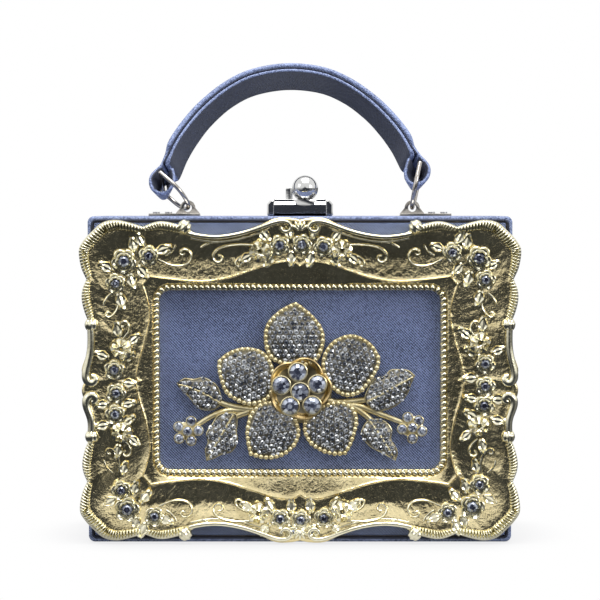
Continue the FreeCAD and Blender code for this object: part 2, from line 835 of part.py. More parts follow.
def lug(side):
    """Lug on the top: an outward flange and an upright fin with the ring's hole, drawn for one side."""
    inner = lug_spread - fin_inner
    outer = lug_spread + fin_outer
    base = block(inner, outer + flange_length, lug_back - lug_half_depth, lug_back + lug_half_depth,
                 box_height, box_height + lug_base_thick)
    front = lug_back - fin_thick / 2
    eye = V(lug_spread, front, box_height + lug_hole_height)
    round_top = rod(fin_round, eye, Y, fin_thick)
    foot = block(inner, outer, front, front + fin_thick, box_height, box_height + lug_base_thick)
    neck = extruded_outline([
        V(inner, front, box_height + lug_base_thick),
        V(outer, front, box_height + lug_base_thick),
        V(lug_spread + fin_round, front, eye.z),
        V(lug_spread - fin_round, front, eye.z),
    ], Y * fin_thick)
    hole = rod(lug_hole_radius, eye - Y * overrun, Y, fin_thick + 2 * overrun)
    solid = joined([base, foot, neck, round_top]).cut(hole)
    if side < 0:
        solid = solid.mirror(CENTRE, X)
    return solid.cut(Part.makeCompound(lug_rivets(side)))


def lug_rivets(side):
    """Two rivets of one lug, down to the backing plate inside."""
    pieces = []
    for i in (0, 1):
        x = lug_spread + lug_rivet_first + lug_rivet_pitch * i
        top = V(side * x, lug_back, box_height + lug_base_thick + rivet_head_height)
        pieces.append(through_rivet(top, board_under_top, 0))
    return pieces


def lug_plate_block(side):
    """Backing plate of one lug, let into the board from inside."""
    x0 = lug_spread + lug_rivet_first - lug_plate_margin
    x1 = lug_spread + lug_rivet_first + lug_rivet_pitch + lug_plate_margin
    left, right = sorted((side * x0, side * x1))
    return block(left, right, lug_back - lug_half_depth, lug_back + lug_half_depth,
                 board_under_top, board_under_top + lug_plate_thick)


def ring_tilt(side):
    """How far a ring tips outward, in degrees; the handle hangs a little to the left."""
    return right_ring_tilt_angle if side > 0 else left_ring_tilt_angle


def bow_middle(side):
    """Middle of a ring's bow; at rest the leaning bow runs through the middle of its lug's hole."""
    tilt = math.radians(ring_tilt(side))
    turn = math.atan(math.cos(tilt) * math.tan(math.radians(handle_lean_angle)))
    out = ring_radius * math.sin(tilt) * math.cos(turn)
    rise = ring_radius * math.hypot(math.cos(turn) * math.cos(tilt), math.sin(turn))
    return V(side * (lug_spread + out), lug_back, box_height + lug_hole_height + rise)


def ring_bar(side):
    """Middle of a ring's straight bar while the handle stands upright."""
    tilt = math.radians(ring_tilt(side))
    return bow_middle(side) + V(side * math.sin(tilt), 0, math.cos(tilt)) * ring_side


def lean(shape):
    """Leans a piece of the upright handle back about the line through both bows' middles."""
    left = bow_middle(-1)
    shape.rotate(left, bow_middle(1) - left, -handle_lean_angle)
    return shape


def d_ring(side):
    """D-ring: a half-round bow through the lug, two short sides and a bar in the strap's loop."""
    bow = Part.makeTorus(ring_radius, ring_wire)
    bow.rotate(CENTRE, Y, FULL_TURN / 4)
    bow = bow.common(block(-ring_radius, ring_radius, -2 * ring_radius, 2 * ring_radius, -2 * ring_radius, 0))
    bar = rod(ring_wire, V(0, -ring_radius, ring_side), Y, 2 * ring_radius)
    pieces = [bow, bar]
    for i in (1, -1):
        pieces.append(rod(ring_wire, V(0, i * ring_radius, 0), Z, ring_side))
        pieces.append(Part.makeSphere(ring_wire, V(0, i * ring_radius, ring_side)))
    ring = joined(pieces)
    ring.rotate(CENTRE, Y, side * ring_tilt(side))
    ring.translate(bow_middle(side))
    return lean(ring)


def arch_curve(points):
    """A smooth line through points."""
    curve = Part.BSplineCurve()
    curve.interpolate(points)
    return curve


def arch_points(inset):
    """The handle's arch from the left bar to the right one, moved inward by an inset."""
    left = ring_bar(-1)
    right = ring_bar(1)
    along = (right - left).normalize()
    up = along.cross(Y)
    half = (right - left).Length / 2
    foot = (left + right) / 2 - Y * (strap_width / 2)
    half_arch = [(x * half, z * handle_rise) for x, z in arch_shares]
    spots = [(-x, z) for x, z in reversed(half_arch[1:])] + half_arch
    curve = arch_curve([foot + along * x + up * z for x, z in spots])
    first = curve.FirstParameter
    last = curve.LastParameter
    points = []
    for i in range(arch_samples + 1):
        at = first + (last - first) * i / arch_samples
        inward = curve.tangent(at)[0].cross(-Y)
        points.append(curve.value(at) + inward * inset)
    return points


def strap_arch(inset, thick):
    """A bent strap over the box: its inner face lies an inset under the arch."""
    low = arch_points(inset)
    high = arch_points(inset - thick)
    sides = [arch_curve(low).toShape(), arch_curve(high).toShape()]
    ends = [Part.LineSegment(low[0], high[0]).toShape(), Part.LineSegment(low[-1], high[-1]).toShape()]
    outline = Part.Wire(Part.sortEdges(sides + ends)[0])
    return Part.Face(outline).extrude(Y * strap_width)


def handle_outer_strap():
    """Outer strap with a closed loop round each ring's bar."""
    arch = strap_arch(0, outer_strap_thick)
    loops = []
    holes = []
    for side in (1, -1):
        eye = ring_bar(side) - Y * (strap_width / 2)
        loops.append(rod(loop_radius + outer_strap_thick, eye, Y, strap_width))
        holes.append(rod(loop_radius, eye - Y * overrun, Y, strap_width + 2 * overrun))
    return lean(joined([arch] + loops).cut(Part.makeCompound(holes)))


def handle_inner_strap():
    """Inner strap glued under the outer one, its ends over the loops."""
    left = ring_bar(-1)
    right = ring_bar(1)
    wide = right - left
    up = V(wide).normalize().cross(Y)
    low = left + up * inner_strap_lift - Y * (strap_width / 2)
    high = low + up * (2 * handle_rise)
    room = extruded_outline([low - wide, low + wide * 2, high + wide * 2, high - wide], Y * strap_width)
    return lean(strap_arch(inner_strap_thick, inner_strap_thick).common(room))


def inner_pocket():
    """Slip pocket on the back lining, open at its top."""
    back = -lining_inner
    front = back - pocket_gap - pocket_thick
    top = pocket_bottom + pocket_height
    outer = block(-pocket_half_width, pocket_half_width, front, back, pocket_bottom, top)
    room = block(-pocket_half_width + pocket_hem, pocket_half_width - pocket_hem, front + pocket_thick,
                 back + overrun, pocket_bottom + pocket_hem, top + overrun)
    return outer.cut(room)


def put(name, shape):
    """Writes one finished piece to its own file."""
    shape.exportStep("parts/" + name + ".step")


def put_front_half():
    """The front tray with everything that is fixed to it."""
    screws = face_screws(frame_screw_places())
    pins = face_screws(brooch_screw_places())
    wide = face_screws(frame_screw_places() + brooch_screw_places(), screw_clearance)
    face_holes = Part.makeCompound(wide)
    top_holes = Part.makeCompound(clasp_screws(screw_clearance))
    put("front_shell", tray_shell().cut(face_holes).cut(top_holes))
    put("front_cover", tray_cover().cut(top_holes))
    put("front_edge_bead", tray_bead())
    put("front_panel", tray_panel().cut(face_holes))
    put("front_lining", tray_lining())
    put("front_rim", tray_rim())
    put("front_hinge_leaf", hinge_leaf(1))
    put("front_hinge_rivets", Part.makeCompound(leaf_rivets()))
    put("picture_frame", picture_frame())
    put("frame_stones", Part.makeCompound(frame_stones()))
    put("frame_screws", Part.makeCompound(screws))
    put("brooch_screws", Part.makeCompound(pins))


def put_brooch():
    """The flower brooch on the front panel."""
    put("brooch_base", brooch_base())
    put("brooch_center", brooch_center())
    put("center_stones", Part.makeCompound(center_stones()))
    metal, fields = petals()
    names = ["petal_top", "petal_left", "petal_lower_left", "petal_lower_right", "petal_right"]
    for name, piece in zip(names, metal):
        put(name, piece)
    put("petal_pave", Part.makeCompound(fields))
    metal, fields = brooch_leaves()
    for name, piece in zip(leaf_shares, metal):
        put(name, piece)
    put("leaf_pave", Part.makeCompound(fields))
    stones = []
    for name, shares in floret_shares.items():
        put(name, floret(brooch_place(shares)))
        stones += floret_stones(brooch_place(shares))
    put("floret_stones", Part.makeCompound(stones))


def put_clasp():
    """Saddle, lever, ball and catch on top."""
    put("clasp_bracket", clasp_bracket())
    put("clasp_pin", clasp_pin())
    put("clasp_spring", clasp_spring())
    put("clasp_screws", Part.makeCompound(clasp_screws()))
    put("clasp_lever", clasp_lever())
    put("clasp_ball", ball_form().cut(ball_screw()))
    put("ball_screw", ball_screw())
    put("catch_plate", catch_plate())
    put("catch_rivets", Part.makeCompound(catch_rivets()))


def put_back_half():
    """The back tray with the hinge pin, lugs and pocket."""
    rivets = Part.makeCompound(lug_rivets(1) + lug_rivets(-1) + catch_rivets())
    plates = [lug_plate_block(1), lug_plate_block(-1)]
    put("back_shell", mirrored_back(tray_shell()).cut(rivets).cut(Part.makeCompound(plates)))
    put("back_cover", mirrored_back(tray_cover()).cut(rivets))
    put("back_edge_bead", mirrored_back(tray_bead()))
    put("back_panel", mirrored_back(tray_panel()))
    put("back_lining", mirrored_back(tray_lining()))
    put("back_rim", mirrored_back(tray_rim()))
    put("back_hinge_leaf", mirrored_back(hinge_leaf(0)))
    put("back_hinge_rivets", mirrored_back(Part.makeCompound(leaf_rivets())))
    put("hinge_pin", hinge_pin())
    put("lug_left", lug(-1))
    put("lug_right", lug(1))
    put("lug_rivets", Part.makeCompound(lug_rivets(1) + lug_rivets(-1)))
    put("lug_plates", Part.makeCompound([plate.cut(rivets) for plate in plates]))
    put("inner_pocket", inner_pocket())


def put_handle():
    """Strap handle and its two rings."""
    put("handle_outer_strap", handle_outer_strap())
    put("handle_inner_strap", handle_inner_strap())
    put("ring_left", d_ring(-1))
    put("ring_right", d_ring(1))


os.makedirs("parts", exist_ok=True)
put_front_half()
put_brooch()
put_clasp()
put_back_half()
put_handle()
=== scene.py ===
import math
import random
import bmesh
import bpy
from mathutils import Matrix, Vector, noise


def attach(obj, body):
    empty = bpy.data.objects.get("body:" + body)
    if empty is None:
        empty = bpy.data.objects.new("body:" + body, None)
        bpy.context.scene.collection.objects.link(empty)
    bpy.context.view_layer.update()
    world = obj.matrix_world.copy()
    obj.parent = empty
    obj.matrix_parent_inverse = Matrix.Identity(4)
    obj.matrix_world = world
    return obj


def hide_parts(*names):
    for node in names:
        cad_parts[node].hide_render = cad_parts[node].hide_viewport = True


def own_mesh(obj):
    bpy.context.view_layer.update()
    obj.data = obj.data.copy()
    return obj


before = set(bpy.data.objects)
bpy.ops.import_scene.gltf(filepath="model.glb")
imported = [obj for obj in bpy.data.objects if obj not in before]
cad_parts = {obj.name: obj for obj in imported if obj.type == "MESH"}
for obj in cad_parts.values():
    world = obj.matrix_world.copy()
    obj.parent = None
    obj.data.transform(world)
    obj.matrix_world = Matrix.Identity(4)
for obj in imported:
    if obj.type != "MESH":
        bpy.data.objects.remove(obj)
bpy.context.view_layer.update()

# Pieces are modelled in millimetres, X to the right, Y to the back and Z up, and handed over in metres.
MM = 0.001
FRAME_MIDDLE = 77.0
BROOCH_MIDDLE = Vector((0, 0, 71.5))
FACE = -35.0
TOP = 154.0
BEFORE_ALL = -80.0
BACKWARD = Vector((0, 1, 0))
TO_FRONT = Matrix.Rotation(math.pi / 2, 4, "X")
HEIGHT_TO_DEPTH = Matrix.Rotation(-math.pi / 2, 4, "X")
FOUR_CORNERS = [(x_side, z_side) for x_side in (1, -1) for z_side in (1, -1)]
chance = random.Random(11)


# Ways of working

def deselect():
    bpy.ops.object.select_all(action="DESELECT")


def take_up(piece):
    """Makes one piece the only selected and active one."""
    deselect()
    piece.select_set(True)
    bpy.context.view_layer.objects.active = piece


def edit(piece):
    """Opens a piece for editing."""
    take_up(piece)
    bpy.ops.object.mode_set(mode="EDIT")


def close():
    """Ends the editing of a piece."""
    bpy.ops.object.mode_set(mode="OBJECT")


def pick(piece, kind, wanted):
    """Selects, in edit mode, just the points, edges or faces that pass a test."""
    bpy.ops.mesh.select_mode(type=kind)
    bpy.ops.mesh.select_all(action="DESELECT")
    shape = bmesh.from_edit_mesh(piece.data)
    for part in {"VERT": shape.verts, "EDGE": shape.edges, "FACE": shape.faces}[kind]:
        if wanted(part):
            part.select_set(True)
    shape.select_flush_mode()
    bmesh.update_edit_mesh(piece.data)


def tidy_skin():
    """Merges doubles and turns the faces outward, in edit mode."""
    bpy.ops.mesh.select_all(action="SELECT")
    bpy.ops.mesh.remove_doubles(threshold=1e-4)
    bpy.ops.mesh.normals_make_consistent(inside=False)


def loft(rings, round_trip=False):
    """A skin drawn by extruding one ring of points to the next; a round trip ends on the first ring."""
    count = len(rings[0])
    deselect()
    bpy.ops.mesh.primitive_circle_add(vertices=count, radius=1.0, fill_type="NOTHING")
    piece = bpy.context.object
    for vertex, place in zip(piece.data.vertices, rings[0]):
        vertex.co = place
    bpy.ops.object.mode_set(mode="EDIT")
    bpy.ops.mesh.select_mode(type="EDGE")
    bpy.ops.mesh.select_all(action="SELECT")
    order = {i: i for i in range(count)}
    for ring in rings[1:] + (rings[:1] if round_trip else []):
        bpy.ops.mesh.extrude_edges_indiv()
        shape = bmesh.from_edit_mesh(piece.data)
        shape.verts.index_update()
        fresh = {}
        for vertex in shape.verts:
            if not vertex.select:
                continue
            for link in vertex.link_edges:
                before = link.other_vert(vertex)
                if not before.select:
                    fresh[vertex.index] = order[before.index]
            vertex.co = ring[fresh[vertex.index]]
        order = fresh
        bmesh.update_edit_mesh(piece.data)
    if not round_trip:
        bpy.ops.mesh.select_all(action="SELECT")
        bpy.ops.mesh.fill_holes(sides=0)
    tidy_skin()
    close()
    return piece


def turned(profile, steps, lobes=0, lobe_depth=0.0):
    """A round piece about Z from (radius, height) pairs, its outline drawn in between lobes."""
    rings = []
    for radius, height in profile:
        ring = []
        for i in range(steps):
            turn = math.tau * i / steps
            wave = 1 + lobe_depth * (abs(math.cos(lobes * turn / 2)) - 0.6) if lobes else 1
            ring.append((radius * wave * math.cos(turn), radius * wave * math.sin(turn), height))
        rings.append(ring)
    return loft(rings)


def joined(pieces):
    """Several pieces made one."""
    deselect()
    for piece in pieces:
        piece.select_set(True)
    bpy.context.view_layer.objects.active = pieces[0]
    if len(pieces) > 1:
        bpy.ops.object.join()
    return bpy.context.object


def copies(pattern, places):
    """One piece out of copies of a pattern, each at its own place, turn and size."""
    made = []
    for place in places:
        twin = pattern.copy()
        twin.data = pattern.data.copy()
        twin.data.transform(place)
        bpy.context.collection.objects.link(twin)
        made.append(twin)
    bpy.data.objects.remove(pattern)
    return joined(made)


def wire(points, thick, taper=None, steps=6, rim=2, closed=False):
    """A round wire along a smooth line, its thickness following the taper."""
    line = bpy.data.curves.new("wire", "CURVE")
    line.dimensions = "3D"
    line.bevel_depth = thick
    line.bevel_resolution = rim
    line.resolution_u = steps
    line.use_fill_caps = True
    spline = line.splines.new("NURBS")
    spline.points.add(len(points) - 1)
    for i, place in enumerate(points):
        spline.points[i].co = (*place, 1)
        spline.points[i].radius = taper[i] if taper else 1
    spline.order_u = 4
    spline.use_endpoint_u = not closed
    spline.use_cyclic_u = closed
    piece = bpy.data.objects.new("wire", line)
    bpy.context.collection.objects.link(piece)
    take_up(piece)
    bpy.ops.object.convert(target="MESH")
    edit(bpy.context.object)
    tidy_skin()
    close()
    return bpy.context.object


def finish_with(piece, kind, **settings):
    """Adds a modifier to a piece and applies it."""
    take_up(piece)
    modifier = piece.modifiers.new(kind.lower(), kind)
    for key, value in settings.items():
        setattr(modifier, key, value)
    bpy.ops.object.modifier_apply(modifier=modifier.name)
    return piece


def bead(segments, rows):
    """A ball of radius 1, to be stretched and copied."""
    deselect()
    bpy.ops.mesh.primitive_uv_sphere_add(segments=segments, ring_count=rows, radius=1.0)
    return bpy.context.object


def grid(columns, rows):
    """A flat sheet from -1 to 1 in X and Y, to be shaped point by point."""
    deselect()
    bpy.ops.mesh.primitive_grid_add(x_subdivisions=columns, y_subdivisions=rows, size=2.0)
    return bpy.context.object


def crown(sides, table, height):
    """The start of a cut stone about Z, its girdle at height 0 and radius 1, opened for editing."""
    deselect()
    bpy.ops.mesh.primitive_cone_add(vertices=sides, radius1=1.0, radius2=table, depth=height,
                                    location=(0, 0, height / 2), end_fill_type="NGON")
    stone = bpy.context.object
    take_up(stone)
    bpy.ops.object.transform_apply(location=True)
    edit(stone)
    return stone


def hand_over(piece, name, finish, body="front_half", stands_for=(), angle=40.0):
    """Brings a piece to metres, names and dresses it and lets it ride on its body."""
    take_up(piece)
    bpy.ops.object.transform_apply(location=True, rotation=True, scale=True)
    piece.data.transform(Matrix.Scale(MM, 4))
    piece.name = name
    piece.data.name = name
    layers = finish if isinstance(finish, list) else [finish]
    shares = [face.material_index for face in piece.data.polygons]
    piece.data.materials.clear()
    for layer in layers:
        piece.data.materials.append(layer)
    for face, share in zip(piece.data.polygons, shares):
        face.material_index = min(share, len(layers) - 1)
    bpy.ops.object.shade_smooth_by_angle(angle=math.radians(angle))
    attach(piece, body)
    if stands_for:
        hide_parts(*stands_for)
    return piece


def smooth_line(points, count):
    """Evenly spaced points on a smooth line through the given ones."""
    places = [Vector(p) for p in points]
    ends = [2 * places[0] - places[1]] + places + [2 * places[-1] - places[-2]]
    fine = []
    for i in range(1, len(ends) - 2):
        a, b, c, d = ends[i - 1:i + 3]
        for k in range(24):
            t = k / 24
            fine.append(0.5 * (2 * b + (c - a) * t + (2 * a - 5 * b + 4 * c - d) * t * t
                               + (3 * b - a - 3 * c + d) * t ** 3))
    fine.append(places[-1])
    return evenly(fine, count)


def evenly(line, count):
    """The same line with its points at even distances."""
    steps = [0.0]
    for a, b in zip(line, line[1:]):
        steps.append(steps[-1] + (b - a).length)
    made = []
    at = 0
    for k in range(count):
        want = steps[-1] * k / (count - 1)
        while at < len(line) - 2 and steps[at + 1] < want:
            at += 1
        share = (want - steps[at]) / max(steps[at + 1] - steps[at], 1e-9)
        made.append(line[at].lerp(line[at + 1], share))
    return made


def ease(value, start, end):
    """Rises softly from nothing at the start to one at the end."""
    share = min(max((value - start) / (end - start), 0), 1)
    return share * share * (3 - 2 * share)


def length_of(line):
    return sum((b - a).length for a, b in zip(line, line[1:]))


def heading(line, i):
    """The way that a line runs at one of its points."""
    return (line[min(i + 1, len(line) - 1)] - line[max(i - 1, 0)]).normalized()


def any_turn():
    return chance.uniform(0, math.tau)


def on_face(x, z, y, middle=FRAME_MIDDLE):
    """A place at some depth, its x and z counted from the frame's middle or another one."""
    return Vector((x, y, middle + z))


# Finishes

def add(tree, kind, wires=None, **settings):
    """A shader node with its settings; wires gives its inputs as values or as other sockets."""
    made = tree.nodes.new(kind)
    for key, value in settings.items():
        setattr(made, key, value)
    for key, value in (wires or {}).items():
        if isinstance(value, bpy.types.NodeSocket):
            tree.links.new(value, made.inputs[key])
        else:
            made.inputs[key].default_value = value
    return made


def ramp(tree, value, stops):
    """A colour ramp with its stops."""
    made = add(tree, "ShaderNodeValToRGB", {"Fac": value})
    bar = made.color_ramp.elements
    while len(bar) < len(stops):
        bar.new(0.5)
    for stop, (place, colour) in zip(bar, stops):
        stop.position = place
        stop.color = (*colour, 1)
    return made.outputs["Color"]


def number(tree, kind, a, b):
    """One sum on two values."""
    return add(tree, "ShaderNodeMath", {0: a, 1: b}, operation=kind).outputs[0]


def weighed(tree, *parts, plus=None):
    """Several values added up, each by its own weight, and a plain number on top."""
    total = None
    for value, weight in parts:
        share = number(tree, "MULTIPLY", value, weight)
        total = share if total is None else number(tree, "ADD", total, share)
    return total if plus is None else number(tree, "ADD", total, plus)


def new_finish(name, **sockets):
    """A material with its main shader; sockets gives plain values."""
    finish = bpy.data.materials.new(name)
    finish.use_nodes = True
    shader = finish.node_tree.nodes["Principled BSDF"]
    for key, value in sockets.items():
        shader.inputs[key.replace("_", " ")].default_value = value
    where = finish.node_tree.nodes.new("ShaderNodeTexCoord").outputs["Object"]
    return finish, finish.node_tree, shader, where


def lead_in(tree, shader, colour, rough=None, relief=None, depth=0.0):
    """Leads a finish's colour, roughness and relief, its depth in metres, into the main shader."""
    tree.links.new(colour, shader.inputs["Base Color"])
    if rough is not None:
        tree.links.new(rough, shader.inputs["Roughness"])
    if relief is not None:
        bump = add(tree, "ShaderNodeBump", {"Height": relief, "Distance": depth, "Strength": 1.0})
        tree.links.new(bump.outputs["Normal"], shader.inputs["Normal"])


def speckle(tree, where, size, detail=2.0, rough=0.5):
    """Cloudy noise with features of about one size in millimetres."""
    return add(tree, "ShaderNodeTexNoise", {"Vector": where, "Scale": 1 / (size * MM), "Detail": detail,
                                            "Roughness": rough}).outputs["Fac"]


def streaks(tree, where, stretch, scale, detail, turn=0.0):
    """Noise drawn out into streaks, turned about the depth."""
    drawn = add(tree, "ShaderNodeMapping", {"Vector": where, "Rotation": (0, math.radians(turn), 0),
                                            "Scale": stretch}).outputs["Vector"]
    return add(tree, "ShaderNodeTexNoise", {"Vector": drawn, "Scale": scale, "Detail": detail}).outputs["Fac"]


def threads(tree, where, pitch, turn, wobble=0.6):
    """Fine lines across a sheet, seen on every side of a box; turn flips their slant."""
    flipped = add(tree, "ShaderNodeMapping", {"Vector": where, "Scale": turn}).outputs["Vector"]
    scale = math.tau / (10 * math.sqrt(2) * pitch * MM)
    return add(tree, "ShaderNodeTexWave", {"Vector": flipped, "Scale": scale, "Distortion": wobble, "Detail": 1.0,
                                           "Detail Scale": 0.4}, bands_direction="DIAGONAL").outputs["Fac"]


THREAD_SLANTS = ((1, 1, 1), (1, -1, -1))
HATCHING = (1 / (0.5 * MM), 60, 1 / (7.0 * MM))
HATCHING_TURNS = (22, -38, 68)


def grained_sheet(name, dark, light, pitch=0.95, gloss=0.42, twill=0.46):
    """Satin coated sheet with a fine crossed grain."""
    finish, tree, shader, where = new_finish(name, Specular_IOR_Level=0.5, Coat_Weight=0.05, Coat_Roughness=0.3)
    one, two = (threads(tree, where, pitch, slant, 1.2) for slant in THREAD_SLANTS)
    grain = weighed(tree, (one, 0.68), (two, 0.32))
    cloud = speckle(tree, where, 24, 3.0)
    grit = speckle(tree, where, 0.75, 1.0)
    tone = weighed(tree, (grain, twill), (cloud, 0.2), (grit, 0.92 - twill))
    rough = weighed(tree, (grain, -0.14), (cloud, 0.08), plus=gloss + 0.06)
    relief = weighed(tree, (grain, 2 * twill), (grit, 0.8))
    lead_in(tree, shader, ramp(tree, tone, [(0.41, dark), (0.67, light)]), rough, relief, 0.00014)
    return finish


def pale_gold(name, crinkle, gloss, deep, bright, hatched=0.0, metal=1.0):
    """Pale gold plate on a cast piece, with a foil-like crinkle and scratched hatching."""
    finish, tree, shader, where = new_finish(name, Metallic=metal, IOR=1.5)
    cloud = speckle(tree, where, 9, 3.0)
    foil = speckle(tree, where, 1.6, 4.0, 0.6)
    cells = add(tree, "ShaderNodeTexVoronoi", {"Vector": where, "Scale": 1 / (2.1 * MM)},
                feature="SMOOTH_F1").outputs["Distance"]
    folds = number(tree, "SUBTRACT", speckle(tree, where, 2.6, 2.0, 0.55), 0.5)
    crease = number(tree, "ABSOLUTE", folds, 0)
    tone = weighed(tree, (cloud, 0.6), (foil, 0.4))
    rough = weighed(tree, (foil, 0.22), plus=gloss - 0.06)
    marks = [(foil, 0.6), (cells, 0.35), (crease, 2.2)]
    if hatched:
        marks.append((speckle(tree, where, 0.55, 1.0), 0.3 * hatched))
        marks += [(streaks(tree, where, HATCHING, 1.0, 1.5, turn), 0.3 * hatched) for turn in HATCHING_TURNS]
    colour = ramp(tree, tone, [(0.3, deep), (0.66, bright)])
    lead_in(tree, shader, colour, rough, weighed(tree, *marks), 0.00007 * crinkle)
    return finish


def cut_stone(name, dark, middle, light):
    """Foil-backed cut stone with painted facet light: each facet's base colour runs from dark to white by its own
    painted value, standing in for its reflections and glints.
    """
    finish, tree, shader, where = new_finish(name, Metallic=0.35, Roughness=0.05, IOR=1.6, Coat_Weight=1.0,
                                             Coat_Roughness=0.02)
    fire = add(tree, "ShaderNodeAttribute", attribute_name="fire").outputs["Fac"]
    # The painted facet light, with a faint noise, sets the stone's base colour.
    tone = weighed(tree, (fire, 1.0), (speckle(tree, where, 0.9, 2.0), 0.25))
    lead_in(tree, shader, ramp(tree, tone, [(0.10, dark), (0.55, middle), (1.0, light)]))
    return finish


def polished(name, tint, gloss=0.06, scratch=0.00002):
    """Polished plate with faint wiping marks."""
    finish, tree, shader, where = new_finish(name, Metallic=1.0)
    marks = streaks(tree, where, (40, 400, 700), 6.0, 3.0)
    low = tuple(0.86 * c for c in tint)
    colour = ramp(tree, speckle(tree, where, 12, 2.0), [(0.35, low), (0.7, tint)])
    lead_in(tree, shader, colour, weighed(tree, (marks, 0.1), plus=gloss - 0.03), marks, scratch)
    return finish


def grey_board(name):
    """Pressed board with short fibres."""
    finish, tree, shader, where = new_finish(name, Roughness=0.85)
    fibres = streaks(tree, where, (300, 900, 900), 2.0, 4.0)
    colour = ramp(tree, fibres, [(0.3, (0.24, 0.20, 0.15)), (0.7, (0.40, 0.35, 0.27))])
    lead_in(tree, shader, colour, relief=fibres, depth=0.0001)
    return finish


def woven_lining(name, dark, light):
    """Satin-weave lining cloth."""
    finish, tree, shader, where = new_finish(name, Sheen_Weight=0.35, Sheen_Roughness=0.4, Specular_IOR_Level=0.3)
    warp, weft = (threads(tree, where, 0.45, slant, 0.3) for slant in THREAD_SLANTS)
    weave = weighed(tree, (warp, 0.6), (weft, 0.4))
    tone = weighed(tree, (weave, 0.6), (speckle(tree, where, 30, 3.0), 0.4))
    colour = ramp(tree, tone, [(0.25, dark), (0.8, light)])
    lead_in(tree, shader, colour, weighed(tree, (weave, -0.15), plus=0.62), weave, 0.00008)
    return finish


# Lit and shaded copies of one blue sheet: the panels' copy is darker as painted shade of the front faces; the strap's
# copy, with a finer, fainter grain, is lighter as painted light of the top-lit handle and top beads.
panel_blue_painted_shade = grained_sheet("periwinkle_satin_sheet", (0.010, 0.016, 0.050), (0.255, 0.33, 0.595))
strap_blue_painted_light = grained_sheet("strap_satin_sheet", (0.06, 0.085, 0.20), (0.34, 0.425, 0.70), 0.8, twill=0.16)
# Painted shade: a dark copy of the strap sheet for strap faces in shade, the inner strap's underside and the loops'
# faces against the bars.
strap_painted_shade = grained_sheet("strap_underside_sheet", (0.066, 0.074, 0.104), (0.098, 0.110, 0.152), 0.8, 0.5, 0.1)
# Painted shade: a near-black sheet for strips laid in the gap between the straps and in the panels' grooves.
gap_and_groove_painted_shade = grained_sheet("dark_seam_sheet", (0.005, 0.008, 0.024), (0.018, 0.025, 0.06), 0.8, 0.6)
frame_gold = pale_gold("hammered_pale_gold", 2.0, 0.12, (0.62, 0.52, 0.28), (0.96, 0.83, 0.49), 0.75)
smooth_gold = pale_gold("smooth_pale_gold", 0.3, 0.12, (0.62, 0.58, 0.41), (0.93, 0.89, 0.69))
brooch_gold = pale_gold("brooch_pale_gold", 0.6, 0.17, (0.56, 0.45, 0.21), (0.95, 0.86, 0.56), metal=0.65)
# Painted reflection and shade: the bowl's rim gets a warmer, darker gold that stands in for gold-on-gold reflection
# and shade.
bowl_gold_painted_reflection = pale_gold("warm_bowl_gold", 0.3, 0.24, (0.30, 0.21, 0.09), (0.55, 0.43, 0.22))
# Dark gold: painted shade on the bowl's floor between the large stones, and the dark field round the small stones on
# petals and leaves.
dark_setting_and_painted_shade = pale_gold("dark_stone_setting", 0.5, 0.34, (0.15, 0.135, 0.10), (0.30, 0.275, 0.21))
clear_stone = cut_stone("clear_cut_stone", (0.012, 0.012, 0.024), (0.10, 0.115, 0.18), (0.62, 0.68, 0.82))
pave_stone = cut_stone("small_set_stone", (0.015, 0.018, 0.028), (0.075, 0.09, 0.125), (0.95, 0.98, 1.0))
chrome = polished("polished_chrome", (0.72, 0.72, 0.71))
ring_nickel = polished("dark_nickel", (0.50, 0.47, 0.43), 0.15)
steel = polished("plain_steel", (0.56, 0.56, 0.56), 0.26, 0.00004)
board = grey_board("grey_board")
lining = woven_lining("slate_satin_lining", (0.055, 0.065, 0.11), (0.12, 0.135, 0.2))


# Stage, light and camera, in metres

FLOOR_SIZE = 1.6
MIRRORED_FLOOR = (0.1235, 0.185)
LAMPS = (
    ("overhead_softbox", (0.05, -0.25, 1.25), (0, 0.0, 0.1), 0.9, 15.0),
    ("left_softbox", (-1.1, -0.75, 0.75), (0, -0.03, 0.09), 0.6, 1.2),
    ("right_softbox", (1.2, -0.9, 0.6), (0, -0.03, 0.09), 0.5, 5.2),
)
EYE = (0, -1.035, 0.157)
EYE_DOWN = 2.43
LENS = 127.5
WHITE = (1, 1, 1, 1)


def between_limits(tree, value, low, high, top):
    """Rises softly from nothing at the low limit to the top at the high one."""
    return add(tree, "ShaderNodeMapRange", {"Value": value, "From Min": low, "From Max": high, "To Min": 0.0,
                                            "To Max": top}, interpolation_type="SMOOTHSTEP").outputs[0]


def in_mirrors(tree, ray):
    """One for what polished pieces and stones see, nothing for the rest."""
    return number(tree, "MAXIMUM", ray.outputs["Is Glossy Ray"], ray.outputs["Is Transmission Ray"])


def passing(tree, share, one, other):
    """A shader that passes from one to the other with a share."""
    return add(tree, "ShaderNodeMixShader", {0: share, 1: one, 2: other}).outputs[0]


def tinted(tree, share, one, other):
    """A colour that passes from one to the other with a share."""
    return add(tree, "ShaderNodeMix", {0: share, 6: one, 7: other}, data_type="RGBA").outputs[2]


